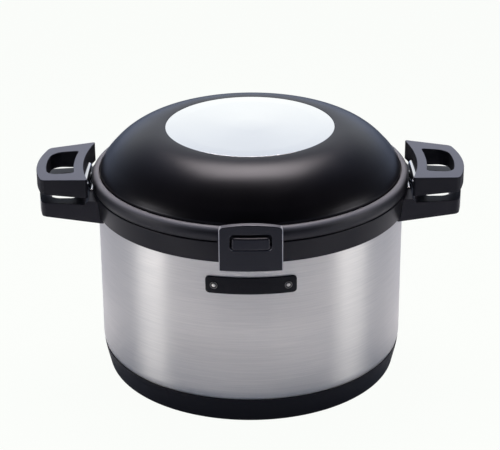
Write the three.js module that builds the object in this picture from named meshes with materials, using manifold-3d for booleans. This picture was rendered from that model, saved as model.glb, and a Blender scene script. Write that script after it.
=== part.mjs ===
// Thermal cooker: a vacuum-insulated steel vessel with a hinged lid, holding a lift-out cooking pot.
// Millimetres, +Z up. The origin is on the vessel's axis at table level, the latch faces -Y,
// the hinge is at +Y and the two pairs of handles lie along X.
import * as THREE from 'three';
import { mergeVertices } from 'three/addons/utils/BufferGeometryUtils.js';
import Module from 'manifold-3d';

const wasm = await Module();
wasm.setup();

// Allowances shared by every piece
const seatGap = 0.3;
const overrun = 6;

// How many flats or steps each kind of curve gets
const roundSteps = 28;
const knobSteps = 16;
const pinSteps = 12;
const screwSteps = 8;
const curveSteps = 3;
const sweepSteps = 6;
const bevelSteps = 1;

// Steel vessel, double walled with a vacuum between
const bodyRadius = 135;
const shellWall = 0.8;
const shellBottom = 21;
const shellRise = 134.5;
const shellFootRadius = 20;
const shellFootHeight = 10;
const shoulderRise = 3.1;
const shoulderCut = 1;
const neckInset = 6.4;
const neckHeight = 6;
const neckBend = 1;
const seamGap = 0.5;
const linerWall = 0.8;
const linerFloorRise = 1.6;
const linerCorner = 16;
const linerFlare = 1.1;
const linerFlareHeight = 4;
const bottomPlateSlope = 31;
const bottomPlateDrop = 8;
const bottomPlateLip = 2.7;
const shellFootCentre = bodyRadius - shellFootRadius;
const shellFootTop = shellBottom + shellFootHeight;
const shoulderHeight = shellBottom + shellRise;
const neckRadius = bodyRadius - neckInset;
const neckTop = shoulderHeight + neckHeight;
const linerRadius = neckRadius - shellWall - seamGap - linerFlare;
const linerFloor = shellBottom + linerFloorRise;

// Plastic base under the vessel
const baseOverlap = 2.8;
const baseLip = 0.5;
const baseFootInset = 8.8;
const baseFootCorner = 4;
const baseFootWidth = 16.6;
const baseRecess = 1.2;
const baseWall = 2;
const baseWaistDrop = 2;
const baseWaistInset = 0.7;
const baseTop = shellBottom + baseOverlap;
const baseWaist = shellBottom - baseWaistDrop;
const baseFootRadius = bodyRadius - baseFootInset;

// Shoulder ring round the vessel's mouth
const bandOverlap = 1.5;
const bandHeight = 19;
const bandProud = 2.8;
const bandFlare = 1.6;
const bandChamfer = 0.6;
const mouthInset = 0.2;
const ledgeDrop = 3;
const ledgeInset = 7.6;
const ledgeStep = 1.6;
const bracketRecessDepth = 0.7;
const bracketRecessSide = 2;
const envelopeDepth = 18;
const bandBottom = shoulderHeight - bandOverlap;
const bandTop = bandBottom + bandHeight;
const bandLowerRadius = bodyRadius + bandProud;
const bandUpperRadius = bandLowerRadius + bandFlare;
const mouthRadius = linerRadius - mouthInset;
const ledgeHeight = bandTop - ledgeDrop;
const ledgeOuterRadius = bandUpperRadius - ledgeInset;
const bracketSeat = ledgeHeight - bracketRecessDepth;

// Lid's ring
const lidGap = 0.6;
const rimHeight = 11.8;
const rimProud = 0.6;
const rimFootInset = 0.8;
const rimBulgeRise = 3;
const rimBulgeHeight = 2.9;
const rimShoulderDrop = 2.4;
const rimWall = 3.8;
const rimCrownInset = 4.4;
const grooveInset = 6.6;
const flangeRise = 4.4;
const flangeThickness = 3;
const flangeWidth = 12.4;
const lidScrewMargin = 3.4;
const lidScrewCount = 4;
const rimBottom = bandTop + lidGap;
const rimTop = rimBottom + rimHeight;
const rimRadius = bandUpperRadius + rimProud;
const grooveRadius = rimRadius - grooveInset;
const flangeBottom = rimBottom + flangeRise;
const flangeTop = flangeBottom + flangeThickness;
const flangeInnerRadius = rimRadius - flangeWidth;
const lidScrewCircle = flangeInnerRadius + lidScrewMargin;

// Lid's dome: an upright skirt, a cone, and an arc that ends at the recess for the disc
const grooveWidth = 0.8;
const domeWall = 2.5;
const domeRise = 37.4;
const domeArcRadius = 64;
const domeConeAngle = THREE.MathUtils.degToRad(48);
const domeSkirtRise = 4;
const domeSkirtBend = 1;
const domeSkirtCut = 1.85;
const discMargin = 0.6;
const discThickness = 0.9;
const discCrown = 0.7;
const discMidRise = 0.5;
const discRecess = 1.3;
const foamGap = 0.6;
const domeRadius = grooveRadius - grooveWidth;
const domeTop = rimTop + domeRise;
const domeSkirtTop = rimTop + domeSkirtRise;
const domeArcHeight = domeTop - domeArcRadius;
const domeConeRise = domeArcHeight + domeArcRadius * Math.cos(domeConeAngle) - domeSkirtTop - domeSkirtCut;
const domeConeTop = domeRadius - domeSkirtBend - domeConeRise / Math.tan(domeConeAngle);
const domeArcCentre = domeConeTop - domeArcRadius * Math.sin(domeConeAngle);
const discRadius = domeArcCentre - discMargin;

// Cooking pot
const potGap = 5.9;
const potWall = 1;
const potFloorGap = 1.8;
const potCorner = 16;
const potNeckRise = 2;
const potFlareRise = 3.2;
const potFlareBend = 2.2;
const potFlareWidth = 3;
const potRimWidth = 5;
const potBaseInset = 19.5;
const potBaseThickness = 5.7;
const potBaseBevel = 2;
const potRadius = linerRadius - linerWall - potGap;
const potFloor = linerFloor + linerWall + potFloorGap + potBaseThickness + seatGap;
const potFlareBottom = ledgeHeight + potNeckRise;
const potTop = potFlareBottom + potFlareRise + potWall;
const potRimRadius = potRadius + potRimWidth;

// Pot lid and its knob
const potLidMargin = 0.6;
const potLidWall = 0.8;
const potLidPlugGap = 1.9;
const potLidPlugDepth = 4.4;
const potLidRise = 6.2;
const potLidCrownWidth = 49;
const potLidCrownRise = 2;
const knobRadius = 20.5;
const knobStemRadius = 9;
const knobFootRadius = 11;
const knobHeight = 20;
const knobBore = 13;
const knobFootShare = 0.18;
const knobWaistShare = 0.32;
const knobUndersideShare = 0.62;
const knobBellyShare = 0.82;
const knobShoulderShare = 0.93;
const knobUndersideRadiusShare = 0.88;
const knobShoulderRadiusShare = 0.9;
const knobCrownRadiusShare = 0.55;
const potLidTop = potTop + seatGap + potLidWall;
const potLidPlug = potRadius - potWall - potLidPlugGap;
const potLidCrown = potLidTop + potLidRise;
const potLidCrownRadius = knobFootRadius + potLidCrownWidth;
const knobBottom = potLidCrown + seatGap;

// Steel plate under the lid, with its well for the pot lid's knob
const innerPlateWall = 0.8;
const innerPlateMargin = 2.8;
const innerPlateThroatGap = 0.8;
const innerPlateRise = 9;
const innerPlateDomeRise = 13.8;
const innerPlateBend = 2.4;
const innerPlateStep = 4;
const innerPlateSlopeWidth = 19;
const knobWellSide = 20.5;
const knobWellTaper = 6;
const knobWellGap = 4.8;
const innerPlateEdge = rimRadius - rimWall - innerPlateMargin;
const innerPlateTop = flangeBottom - seatGap;
const innerPlateThroat = flangeInnerRadius - innerPlateThroatGap;
const innerPlateShoulder = flangeBottom + innerPlateRise;
const innerPlateCrown = innerPlateShoulder + innerPlateDomeRise;
const knobWellRadius = knobRadius + knobWellSide;
const knobWellTop = knobBottom + knobHeight + knobWellGap;
const innerPlateSlopeRadius = knobWellRadius + innerPlateSlopeWidth;

// Hinge
const hingeSetback = 1.5;
const barrelRadius = 4.9;
const barrelClearance = 1.1;
const knuckleHalfWidth = 18;
const knuckleWebRise = 3.4;
const knuckleWebDrop = 3.9;
const earGap = 0.5;
const earThickness = 8;
const earNotchGap = 0.7;
const pinRadius = 2;
const pinClearance = 0.2;
const pinInset = 0.3;
const hingeBlockRise = 3;
const hingeBlockCorner = 4;
const hingeScrewSpacing = 24;
const hingeScrewRise = 7.5;
const hingeScrewLength = 13;
const hingeY = rimRadius + hingeSetback;
const hingeHeight = bandTop + barrelRadius + barrelClearance;
const hingeHalfWidth = knuckleHalfWidth + earGap + earThickness;
const pinBoreRadius = pinRadius + pinClearance;
const hingeBlockBottom = bandBottom + hingeBlockRise;
const hingeScrewHeight = hingeBlockBottom + hingeScrewRise;

// The hinge block's back and the latch button's front stand equally far from the axis
const reach = hingeY + barrelRadius;

// Latch cover
const latchHalfWidth = 26.3;
const latchDrop = 3.8;
const latchRise = 2.9;
const latchArch = 3.4;
const latchCorner = 3;
const latchCornerRise = 0.6;
const latchWall = 1.8;
const latchRimGap = 1.2;
const holeSide = 1.6;
const holeBelow = 0.8;
const holeAbove = 3.4;
const holeCorner = 3.4;
const buttonProud = 0.4;
const latchBottom = bandBottom - latchDrop;
const latchShoulder = rimTop + latchRise;
const latchCrown = latchShoulder + latchArch;
const coverRadius = reach - buttonProud;

// Latch button with its arms and nose, and the lid's striker
const buttonHalfWidth = 15.7;
const buttonHeight = 10.6;
const buttonDrop = 3.8;
const buttonCorner = 1.6;
const buttonDepth = 3.2;
const buttonTravel = 2.5;
const webHalfWidth = 20;
const webMargin = 0.6;
const webOverlap = 2.1;
const armHalfSpan = 13;
const armWidth = 3.5;
const armHeight = 5;
const armClearance = 1.9;
const crossBarThickness = 2;
const noseHalfWidth = 6;
const noseRise = 1.6;
const noseBite = 1.3;
const pocketGap = 0.6;
const pocketWall = 1.3;
const strikerInset = 3.4;
const strikerThickness = 2;
const strikerPost = 1.7;
const strikerBarHeight = 1.7;
const buttonBottom = bandTop - buttonDrop;
const buttonTop = buttonBottom + buttonHeight;
const armBottom = neckTop + armClearance;
const armTop = armBottom + armHeight;
const webBottom = armBottom - webMargin;
const webTop = buttonBottom + webOverlap;
const pocketEnd = mouthRadius + pocketWall;
const armReach = pocketEnd + seatGap + buttonTravel;
const strikerFront = rimRadius - strikerInset;
const strikerBack = strikerFront - strikerThickness;
const noseReach = strikerBack + noseBite;
const noseBottom = armBottom + noseRise;
const strikerHalfWidth = noseHalfWidth + seatGap + strikerPost;
const strikerBottom = noseBottom - seatGap - strikerBarHeight;
const pocketBottom = strikerBottom - pocketGap;
const pocketTop = armTop + pocketGap;

// Latch springs
const springOffset = 4.5;
const springRise = 2.2;
const springRadius = 1.7;
const springWire = 0.25;
const springTurnCount = 5;
const springBoreGap = 0.5;
const springWall = 5.5;
const springX = armHalfSpan + springOffset;
const springHeight = armBottom + springRise;
const springBoreRadius = springRadius + springBoreGap;
const springBoreBottom = mouthRadius + springWall;

// Name plate on the front, left bare, with its two rivets
const plateHalfWidth = 38;
const plateHeight = 15;
const plateDrop = 14.2;
const plateCorner = 3;
const plateThickness = 1.1;
const rivetMargin = 7;
const rivetRadius = 3.3;
const rivetHeadHeight = 1;
const rivetEdge = 0.35;
const rivetCrownRadius = 2.3;
const rivetCrownEdge = 0.85;
const rivetShankRadius = 1.2;
const plateTop = bandBottom - plateDrop;
const plateBottom = plateTop - plateHeight;
const rivetX = plateHalfWidth - rivetMargin;

// Loop handles
const handleBar = 8.6;
const potWindowHalf = 26;
const windowInnerFillet = 3;
const windowOuterFillet = 9;
const handleBevel = 1;

// Vessel handles, each with a raised root for the pot's bracket
const vesselHandleInset = 2;
const vesselHandleRootHalf = 46.9;
const vesselHandleGripHalf = 38.9;
const vesselHandleBow = 150;
const vesselHandleHeight = 16.9;
const vesselHandleRise = 4.3;
const vesselHandleRootFillet = 6;
const vesselHandleGripFillet = 3;
const vesselHandleSetback = 2.3;
const vesselWindowHalf = 29;
const rootStep = 2.1;
const rootRise = 3.4;
const rootDepth = 3.9;
const rootChamfer = 2.8;
const rootBar = 12.5;
const vesselHandleTop = bracketSeat - rootStep;
const rootTop = vesselHandleTop + rootRise;
const vesselHandleBottom = vesselHandleTop - vesselHandleHeight;
const rootReach = bandUpperRadius + rootDepth;
const vesselWindowInner = rootReach + rootBar;

// Pot handles
const potHandleClearance = 7;
const potHandleLength = 41.5;
const potHandleRootHalf = 45.4;
const potHandleGripHalf = 38.1;
const potHandleBow = 103;
const potHandleSpacing = 6.3;
const potHandleHeight = 16.8;
const potHandleFall = 2.9;
const potHandleRise = 1;
const potHandleRootFillet = 3;
const potHandleGripFillet = 3;
const potHandleInner = rimRadius + potHandleClearance;
const potHandleReach = potHandleInner + potHandleLength;
const potHandleBottom = vesselHandleTop + potHandleSpacing;
const potHandleTop = potHandleBottom + potHandleHeight;

const potHandle = {
  innerRadius: potHandleInner,
  innerHalf: potHandleRootHalf,
  innerFillet: potHandleRootFillet,
  reach: potHandleReach,
  outerRadius: potHandleBow,
  outerHalf: potHandleGripHalf,
  outerFillet: potHandleGripFillet,
};
const vesselHandle = {
  innerRadius: bodyRadius - vesselHandleInset,
  innerHalf: vesselHandleRootHalf,
  innerFillet: vesselHandleRootFillet,
  reach: potHandleReach - vesselHandleSetback,
  outerRadius: vesselHandleBow,
  outerHalf: vesselHandleGripHalf,
  outerFillet: vesselHandleGripFillet,
};

// Brackets between the pot and its handles
const bracketThickness = 2.2;
const bracketWidth = 40;
const bracketPadLength = 19.3;
const bracketPadGap = 0.4;
const bracketRimGap = 2.6;
const bracketBend = 3;
const bracketCut = 1;
const bracketTongueRise = 6.7;
const bracketTongueLength = 5.2;
const bracketHeight = bracketSeat + seatGap + bracketThickness / 2;
const bracketPadBottom = bracketSeat - bracketPadLength;
const bracketRiser = rimRadius + bracketRimGap;
const bracketTongueHeight = potHandleBottom + bracketTongueRise;
const bracketTongueEnd = potHandleInner + bracketTongueLength;

// Screws
const screwHeadRadius = 2.5;
const screwHeadHeight = 1.5;
const screwShankRadius = 1.3;
const screwHoleGap = 0.4;
const counterboreGap = 0.4;
const counterboreDepth = 2.2;
const handleScrewInset = 2.6;
const handleScrewSpacing = 26;
const handleScrewLength = 9;
const handleScrewRecess = 2;
const screwHoleRadius = screwShankRadius + screwHoleGap;
const counterboreRadius = screwHeadRadius + counterboreGap;
const handleScrewRadius = potHandleInner + handleScrewInset;

// Points on an arc in a radius and height outline
function arc(centreRadius, centreHeight, radius, from, to, steps) {
  return Array.from({ length: steps + 1 }, (_, i) => {
    const angle = from + (to - from) * (i / steps);
    return [centreRadius + radius * Math.cos(angle), centreHeight + radius * Math.sin(angle)];
  });
}

// A sheet's closed outline: the given line, and the same line moved to its left by the thickness
function sheet(line, thickness) {
  const normals = line.slice(1).map((point, i) => {
    const along = new THREE.Vector2(point[0] - line[i][0], point[1] - line[i][1]).normalize();
    return new THREE.Vector2(-along.y, along.x);
  });
  const moved = line.map((point, i) => {
    const before = normals[Math.max(i - 1, 0)];
    const after = normals[Math.min(i, normals.length - 1)];
    const mitre = before.clone().add(after).multiplyScalar(thickness / (1 + before.dot(after)));
    return [point[0] + mitre.x, point[1] + mitre.y];
  });
  return [...line, ...moved.reverse()];
}

// A closed mesh made into a solid that can be joined and cut
function toSolid(geometry) {
  geometry.deleteAttribute('normal');
  geometry.deleteAttribute('uv');
  const merged = mergeVertices(geometry);
  const corners = Array.from(merged.index.array);
  const triVerts = [];
  for (let i = 0; i < corners.length; i += 3) {
    const [a, b, c] = corners.slice(i, i + 3);
    if (a !== b && b !== c && c !== a) triVerts.push(a, b, c);
  }
  return new wasm.Manifold(new wasm.Mesh({
    numProp: 3,
    vertProperties: new Float32Array(merged.attributes.position.array),
    triVerts: new Uint32Array(triVerts),
  }));
}

function toGeometry(solid) {
  const mesh = solid.getMesh();
  const geometry = new THREE.BufferGeometry();
  geometry.setAttribute('position', new THREE.BufferAttribute(mesh.vertProperties, mesh.numProp));
  geometry.setIndex(new THREE.BufferAttribute(mesh.triVerts, 1));
  geometry.computeVertexNormals();
  return geometry;
}

const join = (...solids) => solids.reduce((sum, solid) => sum.add(solid));
const cut = (solid, ...tools) => tools.reduce((left, tool) => left.subtract(tool), solid);
const overlapOf = (first, second) => first.intersect(second);

// A closed outline of radius and height points turned round the Z axis
function turned(outline, steps) {
  const points = outline.map(([radius, height]) => new THREE.Vector2(Math.max(radius, 0), height));
  if (points[0].x > 0) points.push(points[0].clone());
  return toSolid(new THREE.LatheGeometry(points, steps).rotateX(Math.PI / 2));
}

// A flat shape pushed along an axis: drawn in XY for z, in XZ for y and in YZ for x
function pushed(shape, axis, from, to, options = {}) {
  const bevel = options.bevel ?? 0;
  const geometry = new THREE.ExtrudeGeometry(shape, {
    depth: to - from - 2 * bevel,
    curveSegments: options.steps ?? curveSteps,
    bevelEnabled: bevel > 0,
    bevelSize: bevel,
    bevelThickness: bevel,
    bevelOffset: -bevel,
    bevelSegments: bevelSteps,
  });
  geometry.translate(0, 0, bevel);
  if (axis === 'z') geometry.translate(0, 0, from);
  if (axis === 'y') geometry.rotateX(Math.PI / 2).translate(0, to, 0);
  if (axis === 'x') {
    const turn = new THREE.Matrix4().makeBasis(
      new THREE.Vector3(0, 1, 0), new THREE.Vector3(0, 0, 1), new THREE.Vector3(1, 0, 0));
    geometry.applyMatrix4(turn).translate(from, 0, 0);
  }
  return geometry;
}

function outlineShape(points) {
  return new THREE.Shape(points.map(([x, y]) => new THREE.Vector2(x, y)));
}

function block(low, high) {
  const [width, depth, height] = high.map((value, i) => value - low[i]);
  return toSolid(new THREE.BoxGeometry(width, depth, height).translate(
    (low[0] + high[0]) / 2, (low[1] + high[1]) / 2, (low[2] + high[2]) / 2));
}

// A cylinder that starts at a point and runs along an axis
function rod(axis, radius, length, [x, y, z], steps = screwSteps) {
  const geometry = new THREE.CylinderGeometry(radius, radius, length, steps).translate(0, length / 2, 0);
  if (axis === 'z') geometry.rotateX(Math.PI / 2);
  if (axis === 'x') geometry.rotateZ(-Math.PI / 2);
  return toSolid(geometry.translate(x, y, z));
}

function roundedRectangle(left, right, bottom, top, corner) {
  const shape = new THREE.Shape();
  shape.moveTo(left + corner, bottom);
  shape.lineTo(right - corner, bottom);
  shape.quadraticCurveTo(right, bottom, right, bottom + corner);
  shape.lineTo(right, top - corner);
  shape.quadraticCurveTo(right, top, right - corner, top);
  shape.lineTo(left + corner, top);
  shape.quadraticCurveTo(left, top, left, top - corner);
  shape.lineTo(left, bottom + corner);
  shape.quadraticCurveTo(left, bottom, left + corner, bottom);
  return shape;
}

// What the vessel's outside fills, grown by the seat gap, to fit pieces against it
function vesselEnvelope() {
  const low = bandBottom - envelopeDepth;
  const high = bandTop + seatGap;
  return turned([
    [0, low],
    [bodyRadius + seatGap, low],
    [bodyRadius + seatGap, bandBottom - seatGap],
    [bandLowerRadius + seatGap, bandBottom - seatGap],
    [bandUpperRadius + seatGap, bandTop - bandChamfer],
    [bandUpperRadius + seatGap, high],
    [0, high],
  ], roundSteps);
}

// The steel's line over its shoulder and up the neck, moved outwards by a gap
function shoulderLine(gap) {
  const neckBottom = shoulderHeight + shoulderRise + gap;
  return [
    [bodyRadius + gap, shoulderHeight + gap / 2],
    [bodyRadius + gap - shoulderCut, neckBottom - shoulderCut],
    [bodyRadius + gap - shoulderRise, neckBottom],
    [neckRadius + gap + neckBend, neckBottom],
    [neckRadius + gap, neckBottom + neckBend],
    [neckRadius + gap, neckTop + gap],
  ];
}

// Radius of the steel's outside at a height on its rounded foot
function steelFootAt(height) {
  return shellFootCentre + Math.sqrt(shellFootRadius ** 2 - (shellFootTop - height) ** 2);
}

function outerShell() {
  const footAngle = Math.asin(shellFootHeight / shellFootRadius);
  return turned(sheet([
    ...arc(shellFootCentre, shellFootTop, shellFootRadius, -footAngle, 0, 2),
    ...shoulderLine(0),
  ], shellWall), roundSteps);
}

function innerLiner() {
  const corner = linerRadius - linerCorner;
  return turned(sheet([
    [0, linerFloor],
    ...arc(corner, linerFloor + linerCorner, linerCorner, -Math.PI / 2, 0, 3),
    [linerRadius, neckTop - linerFlareHeight],
    [linerRadius + linerFlare, neckTop - linerFlareHeight / 2],
    [linerRadius + linerFlare, neckTop],
  ], linerWall), roundSteps);
}

// Dished plate that closes the vacuum space below
function bottomPlate() {
  const flange = steelFootAt(shellBottom) - shellWall - seatGap;
  return turned(sheet([
    [0, shellBottom - bottomPlateDrop],
    [flange - bottomPlateSlope, shellBottom - bottomPlateDrop],
    [flange, shellBottom - bottomPlateLip],
    [flange, shellBottom + shellWall],
  ], shellWall), roundSteps);
}

function baseCover() {
  const lipRadius = steelFootAt(baseTop) + seatGap;
  const waistRadius = lipRadius + baseLip - baseWaistInset;
  const innerFoot = baseFootRadius + baseFootCorner - baseWall;
  return turned([
    [0, baseRecess],
    [baseFootRadius - baseFootWidth - baseRecess, baseRecess],
    [baseFootRadius - baseFootWidth, 0],
    ...arc(baseFootRadius, baseFootCorner, baseFootCorner, -Math.PI / 2, -Math.PI / 12, 2),
    [waistRadius, baseWaist],
    [lipRadius + baseLip, baseTop],
    [lipRadius, baseTop],
    [steelFootAt(shellBottom) + seatGap, shellBottom],
    [waistRadius - baseWall, baseWaist],
    [innerFoot, baseFootCorner + baseRecess],
    [innerFoot - baseFootCorner / 2, baseRecess + baseWall],
    [0, baseRecess + baseWall],
  ], roundSteps);
}

// Moulded ring that joins the two steel walls at the mouth and carries handles, hinge and latch
function shoulderRing() {
  const ring = turned([
    [bodyRadius + seatGap, bandBottom],
    [bandLowerRadius, bandBottom],
    [bandUpperRadius, bandTop - bandChamfer],
    [bandUpperRadius - bandChamfer, bandTop],
    [ledgeOuterRadius + ledgeStep, bandTop],
    [ledgeOuterRadius, ledgeHeight],
    [mouthRadius + bandChamfer, ledgeHeight],
    [mouthRadius, ledgeHeight - bandChamfer],
    [mouthRadius, neckTop + seatGap],
    ...shoulderLine(seatGap).reverse(),
  ], roundSteps);
  const recessHalf = bracketWidth / 2 + bracketRecessSide;
  const recess = block(
    [-rimRadius - overrun, -recessHalf, bracketSeat],
    [rimRadius + overrun, recessHalf, bandTop + overrun]);
  const pocket = block(
    [-armHalfSpan - pocketGap, -bandUpperRadius - overrun, pocketBottom],
    [armHalfSpan + pocketGap, -pocketEnd, pocketTop]);
  const slot = block(
    [-strikerHalfWidth - pocketGap, -strikerFront - pocketGap, pocketBottom],
    [strikerHalfWidth + pocketGap, -strikerBack + pocketGap, bandTop + overrun]);
  const bores = [-1, 1].map((side) => rod('y', springBoreRadius, bandUpperRadius - springBoreBottom,
    [side * springX, -bandUpperRadius, springHeight]));
  const screwHoles = [-1, 1].map((side) => rod('y', screwHoleRadius, bandUpperRadius,
    [side * hingeScrewSpacing / 2, reach - hingeScrewLength - 2 * screwHeadHeight, hingeScrewHeight]));
  return cut(ring, recess, pocket, slot, ...bores, ...screwHoles);
}

// Plan outline of a handle: concave towards the vessel, bowed outside, with rounded corners
function handleOutline(size) {
  const innerAngle = Math.asin(size.innerHalf / size.innerRadius);
  const outerAngle = Math.asin(size.outerHalf / size.outerRadius);
  const outerCentre = size.reach - size.outerRadius;
  const onInner = (angle) => new THREE.Vector2(Math.cos(angle), Math.sin(angle))
    .multiplyScalar(size.innerRadius);
  const onOuter = (angle) => new THREE.Vector2(Math.cos(angle), Math.sin(angle))
    .multiplyScalar(size.outerRadius).add(new THREE.Vector2(outerCentre, 0));
  const towards = (from, to, distance) => from.clone()
    .add(to.clone().sub(from).normalize().multiplyScalar(distance));
  const innerTrim = innerAngle - size.innerFillet / size.innerRadius;
  const outerTrim = outerAngle - size.outerFillet / size.outerRadius;
  const [innerFront, innerRear] = [-innerAngle, innerAngle].map(onInner);
  const [outerFront, outerRear] = [-outerAngle, outerAngle].map(onOuter);
  const rounded = (from, corner, to) => new THREE.QuadraticBezierCurve(from, corner, to)
    .getPoints(curveSteps);
  const swept = (place, from, to) => Array.from({ length: sweepSteps + 1 },
    (_, i) => place(from + (to - from) * i / sweepSteps)).slice(1, -1);
  return new THREE.Shape([
    ...rounded(towards(outerFront, innerFront, size.outerFillet), outerFront, onOuter(-outerTrim)),
    ...swept(onOuter, -outerTrim, outerTrim),
    ...rounded(onOuter(outerTrim), outerRear, towards(outerRear, innerRear, size.outerFillet)),
    ...rounded(towards(innerRear, outerRear, size.innerFillet), innerRear, onInner(innerTrim)),
    ...swept(onInner, innerTrim, -innerTrim),
    ...rounded(onInner(-innerTrim), innerFront, towards(innerFront, outerFront, size.innerFillet)),
  ]);
}

// The finger window inside a handle, a bar's width in from its edges
function windowOutline(size, innerRadius, half) {
  return handleOutline({
    innerRadius,
    innerHalf: half,
    reach: size.reach - handleBar,
    outerRadius: size.outerRadius - handleBar,
    outerHalf: half,
    innerFillet: windowInnerFillet,
    outerFillet: windowOuterFillet,
  });
}

// A loop handle whose chosen face slopes evenly from its inner end to its outer end
function loopHandle(size, window, bottom, top, slope) {
  const outline = handleOutline(size);
  outline.holes.push(window);
  const geometry = pushed(outline, 'z', bottom, top, { bevel: handleBevel });
  const place = geometry.attributes.position;
  const middle = (bottom + top) / 2;
  const start = size.innerRadius;
  for (let i = 0; i < place.count; i += 1) {
    const share = (place.getX(i) - start) / (size.reach - start);
    const above = place.getZ(i) > middle;
    place.setZ(i, place.getZ(i) + share * (above ? slope.top : slope.bottom));
  }
  return toSolid(geometry);
}

// Phenolic handle of the pot, slotted over the bracket's tongue
function potHandleSolid() {
  const window = windowOutline(potHandle, potHandle.innerRadius + handleBar, potWindowHalf);
  const loop = loopHandle(potHandle, window, potHandleBottom, potHandleTop,
    { top: -potHandleFall, bottom: potHandleRise });
  const half = bracketThickness / 2 + seatGap;
  const slot = block(
    [potHandle.innerRadius - 2 * overrun, -bracketWidth / 2 - seatGap, bracketTongueHeight - half],
    [bracketTongueEnd + seatGap, bracketWidth / 2 + seatGap, bracketTongueHeight + half]);
  const holes = [-1, 1].flatMap((side) => {
    const x = handleScrewRadius;
    const y = side * handleScrewSpacing / 2;
    const headTop = potHandleBottom + handleScrewRecess + seatGap;
    return [
      rod('z', counterboreRadius, overrun, [x, y, headTop - overrun]),
      rod('z', screwHoleRadius, handleScrewLength + seatGap, [x, y, headTop - seatGap]),
    ];
  });
  return cut(loop, slot, ...holes);
}

// Lower handle of the vessel. Its root is raised, but for the seat of the pot's bracket
function vesselHandleSolid() {
  const window = windowOutline(vesselHandle, vesselWindowInner, vesselWindowHalf);
  const loop = loopHandle(vesselHandle, window, vesselHandleBottom, vesselHandleTop,
    { top: 0, bottom: vesselHandleRise });
  const middle = vesselHandleTop - vesselHandleHeight / 2;
  const profile = toSolid(pushed(outlineShape([
    [0, middle],
    [rootReach, middle],
    [rootReach, vesselHandleTop],
    [rootReach - rootChamfer, rootTop],
    [0, rootTop],
  ]), 'y', -vesselHandle.innerHalf, vesselHandle.innerHalf));
  const raised = toSolid(pushed(handleOutline(vesselHandle), 'z', middle, rootTop));
  const seatHalf = bracketWidth / 2 + bracketRecessSide;
  const seat = block([0, -seatHalf, bracketSeat], [rootReach + overrun, seatHalf, rootTop + overrun]);
  return cut(join(loop, cut(overlapOf(raised, profile), seat)), vesselEnvelope());
}

// Steel strip that carries a pot handle: welded pad, shelf through the mouth, riser and tongue
function potBracket() {
  const pad = potRadius + bracketPadGap + bracketThickness / 2;
  const line = [
    [pad, bracketPadBottom],
    [pad, bracketHeight - bracketBend],
    [pad + bracketCut, bracketHeight - bracketCut],
    [pad + bracketBend, bracketHeight],
    [bracketRiser - bracketBend, bracketHeight],
    [bracketRiser - bracketCut, bracketHeight + bracketCut],
    [bracketRiser, bracketHeight + bracketBend],
    [bracketRiser, bracketTongueHeight - bracketBend],
    [bracketRiser + bracketCut, bracketTongueHeight - bracketCut],
    [bracketRiser + bracketBend, bracketTongueHeight],
    [bracketTongueEnd, bracketTongueHeight],
  ];
  const half = bracketThickness / 2;
  const right = sheet(line, -half).slice(line.length).reverse();
  const strip = toSolid(pushed(outlineShape(sheet(right, bracketThickness)), 'y',
    -bracketWidth / 2, bracketWidth / 2));
  const holes = [-1, 1].map((side) => rod('z', screwHoleRadius, 4 * bracketThickness,
    [handleScrewRadius, side * handleScrewSpacing / 2, bracketTongueHeight - 2 * bracketThickness]));
  return cut(strip, ...holes);
}

function potBody() {
  return turned(sheet([
    [0, potFloor],
    ...arc(potRadius - potCorner, potFloor + potCorner, potCorner, -Math.PI / 2, 0, 3),
    [potRadius, potFlareBottom],
    [potRadius + potWall, potFlareBottom + potFlareBend],
    [potRadius + potFlareWidth, potFlareBottom + potFlareRise],
    [potRimRadius, potFlareBottom + potFlareRise],
  ], potWall), roundSteps);
}

function potBase() {
  const top = potFloor - seatGap;
  const bottom = top - potBaseThickness;
  const radius = potRadius - potBaseInset;
  return turned([
    [0, bottom],
    [radius - potBaseBevel, bottom],
    [radius, bottom + potBaseBevel],
    [radius, top],
    [0, top],
  ], roundSteps);
}

// Steel lid of the pot: flat edge on the pot's rim, a plug step inside it and a low dome
function potLid() {
  const valley = potLidTop - potLidPlugDepth;
  const lid = turned(sheet([
    [potRimRadius - potLidMargin, potLidTop],
    [potLidPlug + potLidWall, potLidTop],
    [potLidPlug, potLidTop - potLidWall],
    [potLidPlug - potLidWall, valley],
    [potLidPlug - potLidPlugDepth, valley],
    [potLidCrownRadius, potLidCrown - potLidCrownRise],
    [knobFootRadius + potLidWall, potLidCrown],
    [0, potLidCrown],
  ], potLidWall), roundSteps);
  return cut(lid, rod('z', screwHoleRadius, 2 * overrun, [0, 0, potLidCrown - overrun]));
}

function potLidKnob() {
  const at = (share) => knobBottom + share * knobHeight;
  const knob = turned([
    [0, knobBottom],
    [knobFootRadius, knobBottom],
    [knobFootRadius, at(knobFootShare)],
    [knobStemRadius, at(knobWaistShare)],
    [knobRadius * knobUndersideRadiusShare, at(knobUndersideShare)],
    [knobRadius, at(knobBellyShare)],
    [knobRadius * knobShoulderRadiusShare, at(knobShoulderShare)],
    [knobRadius * knobCrownRadiusShare, at(1)],
    [0, at(1)],
  ], knobSteps);
  return cut(knob, rod('z', screwHoleRadius, knobBore + overrun, [0, 0, knobBottom - overrun]));
}

// Screw standing upright on the origin: pan head below, shank above
function uprightScrew(length) {
  return join(
    rod('z', screwHeadRadius, screwHeadHeight, [0, 0, -screwHeadHeight]),
    rod('z', screwShankRadius, length + screwHeadHeight / 2, [0, 0, -screwHeadHeight / 2]));
}

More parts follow.
